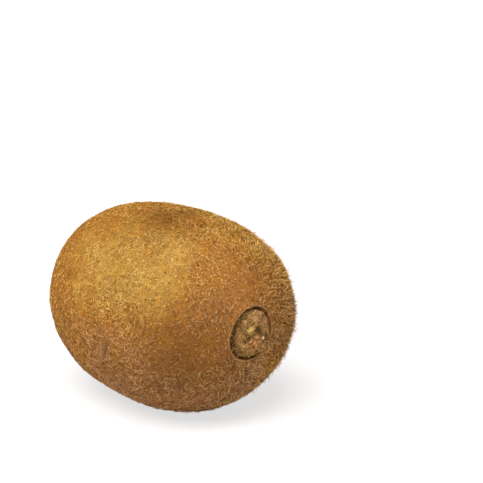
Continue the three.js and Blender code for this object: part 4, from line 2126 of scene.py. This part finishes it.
@dataclass
class Studio:
    """The plain floor, the soft light and the camera at the photograph's angle and framing.

    Attributes:
        form: The fruit's form, already placed.
        azimuth: Camera's direction round the fruit in degrees.
        elevation: Camera's height above the horizon in degrees.
        distance: From the camera to the fruit's middle.
        photo_width: Width of the photograph's frame in pixels.
        middle_in_photo: Where the fruit's middle is in the photograph, in pixels.
        pixel: Size of one pixel at the fruit's middle.
        sensor: Width of the camera's sensor in millimetres.
        floor_size: Side of the square floor.
        world_strength: Strength of the even white surround.
        key_way: Way to the key light, in shares of the image's right, up and towards the camera.
        key_reach: How far away it is.
        key_size: Side of its square.
        key_power: Its power in watts.
    """

    form: FruitForm
    azimuth: float = 51.4
    elevation: float = 18.0
    distance: float = 671 * MM
    photo_width: int = 483
    middle_in_photo: tuple[float, float] = (167.7, 303.2)
    pixel: float = 0.2582 * MM
    sensor: float = 36.0
    floor_size: float = 6.0
    world_strength: float = 0.28
    key_way: tuple[float, float, float] = (-0.22, 0.66, 0.64)
    key_reach: float = 2.2
    key_size: float = 2.0
    key_power: float = 92.5

    def _axes(self) -> tuple[Vector, Vector, Vector]:
        """Finds the camera's own directions.

        Returns:
            From the fruit to the camera, to the image's right, and up the image.
        """
        a, e = math.radians(self.azimuth), math.radians(self.elevation)
        back = Vector((math.sin(a) * math.cos(e), -math.cos(a) * math.cos(e), math.sin(e)))
        right = Vector((math.cos(a), math.sin(a), 0))
        return back, right, back.cross(right)

    def build_camera(self) -> bpy.types.Object:
        """Places the camera and makes it the scene's own.

        Returns:
            The camera.
        """
        back, right, up = self._axes()
        middle = self.form.shift
        half = self.photo_width / 2
        aside = (half - self.middle_in_photo[0]) * self.pixel
        above = (self.middle_in_photo[1] - half) * self.pixel
        data = bpy.data.cameras.new("camera")
        data.sensor_width = self.sensor
        data.lens = self.sensor * self.distance / (self.photo_width * self.pixel)
        data.clip_start = 10 * MM
        camera = bpy.data.objects.new("camera", data)
        camera.location = middle + back * self.distance
        aim = middle + right * aside + up * above - camera.location
        camera.rotation_euler = aim.to_track_quat("-Z", "Y").to_euler()
        bpy.context.scene.collection.objects.link(camera)
        bpy.context.scene.camera = camera
        return camera

    def build_floor(self) -> bpy.types.Object:
        """Lays the plain pale floor under the fruit.

        Returns:
            The floor.
        """
        half = self.floor_size / 2
        corners = np.array([[-half, -half, 0], [half, -half, 0], [half, half, 0], [-half, half, 0]])
        floor = mesh_piece("floor", corners, [np.array([[0, 1, 2, 3]])])
        floor.data.materials.append(FloorFinish().build())
        return floor

    def build_light(self) -> None:
        """Adds the large square key from the upper left front, and an even white surround."""
        back, right, up = self._axes()
        shares = self.key_way
        way_out = (right * shares[0] + up * shares[1] + back * shares[2]).normalized()
        data = bpy.data.lights.new("key", "AREA")
        data.size = self.key_size
        data.energy = self.key_power
        lamp = bpy.data.objects.new("key", data)
        lamp.location = self.form.shift + way_out * self.key_reach
        lamp.rotation_euler = (-way_out).to_track_quat("-Z", "Y").to_euler()
        bpy.context.scene.collection.objects.link(lamp)
        world = bpy.data.worlds.new("surround")
        world.use_nodes = True
        ground = world.node_tree.nodes["Background"]
        ground.inputs["Color"].default_value = (1, 1, 1, 1)
        ground.inputs["Strength"].default_value = self.world_strength
        bpy.context.scene.world = world
        bpy.context.scene.view_settings.view_transform = "Standard"


def attach(piece: bpy.types.Object, slot: Slot, *nodes: str) -> None:
    """Makes a piece ride on the body, hides the CAD nodes it stands for, and logs its triangles and
    its slot.

    Args:
        piece: The piece.
        slot: Finish that the record names.
        nodes: CAD nodes that the piece stands for.
    """
    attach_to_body(piece, BODY)
    if nodes:
        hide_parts(*nodes)
    sides = np.zeros(len(piece.data.polygons), np.int32)
    piece.data.polygons.foreach_get("loop_total", sides)
    log.info("%s: %d triangles, slot %s", piece.name, int((sides - 2).sum()), slot.value)


FUZZ = HairFinish(
    "kiwi_fuzz",
    roots=((0.24, 0.105, 0.013), (0.14, 0.048, 0.006), (0.125, 0.044, 0.015)),
    tips=((0.95, 0.68, 0.225), (0.89, 0.490, 0.108), (0.88, 0.525, 0.265)),
)
CALYX_FUZZ = HairFinish(
    "calyx_fuzz",
    roots=((0.34, 0.19, 0.045), (0.30, 0.13, 0.030)),
    tips=((0.90, 0.60, 0.24), (0.80, 0.44, 0.19)),
)


def main() -> None:
    """Builds the pieces in order, then the studio, and logs each piece's triangles."""
    logging.basicConfig(level=logging.INFO, format="%(name)s: %(message)s")
    effects = Effects()
    form = FruitForm()
    skin = Skin(form)
    skin_piece = skin.build()
    skin_piece.data.materials.append(SkinFinish(effects).build())
    attach(skin_piece, Slot.SKIN, "fruit")
    for piece in Coat(skin, FUZZ.build()).build():
        attach(piece, Slot.FUZZ)
    calyx = Calyx(form)
    attach(calyx.build(CalyxFinish(effects, form).build()), Slot.CALYX, "dried_calyx")
    attach(calyx.build_hairs(CALYX_FUZZ.build()), Slot.CALYX)
    attach(Styles(form).build(StylesFinish(effects).build()), Slot.STYLES, "dried_styles")
    studio = Studio(form)
    studio.build_floor()
    studio.build_light()
    studio.build_camera()


if __name__ == "__main__":
    main()
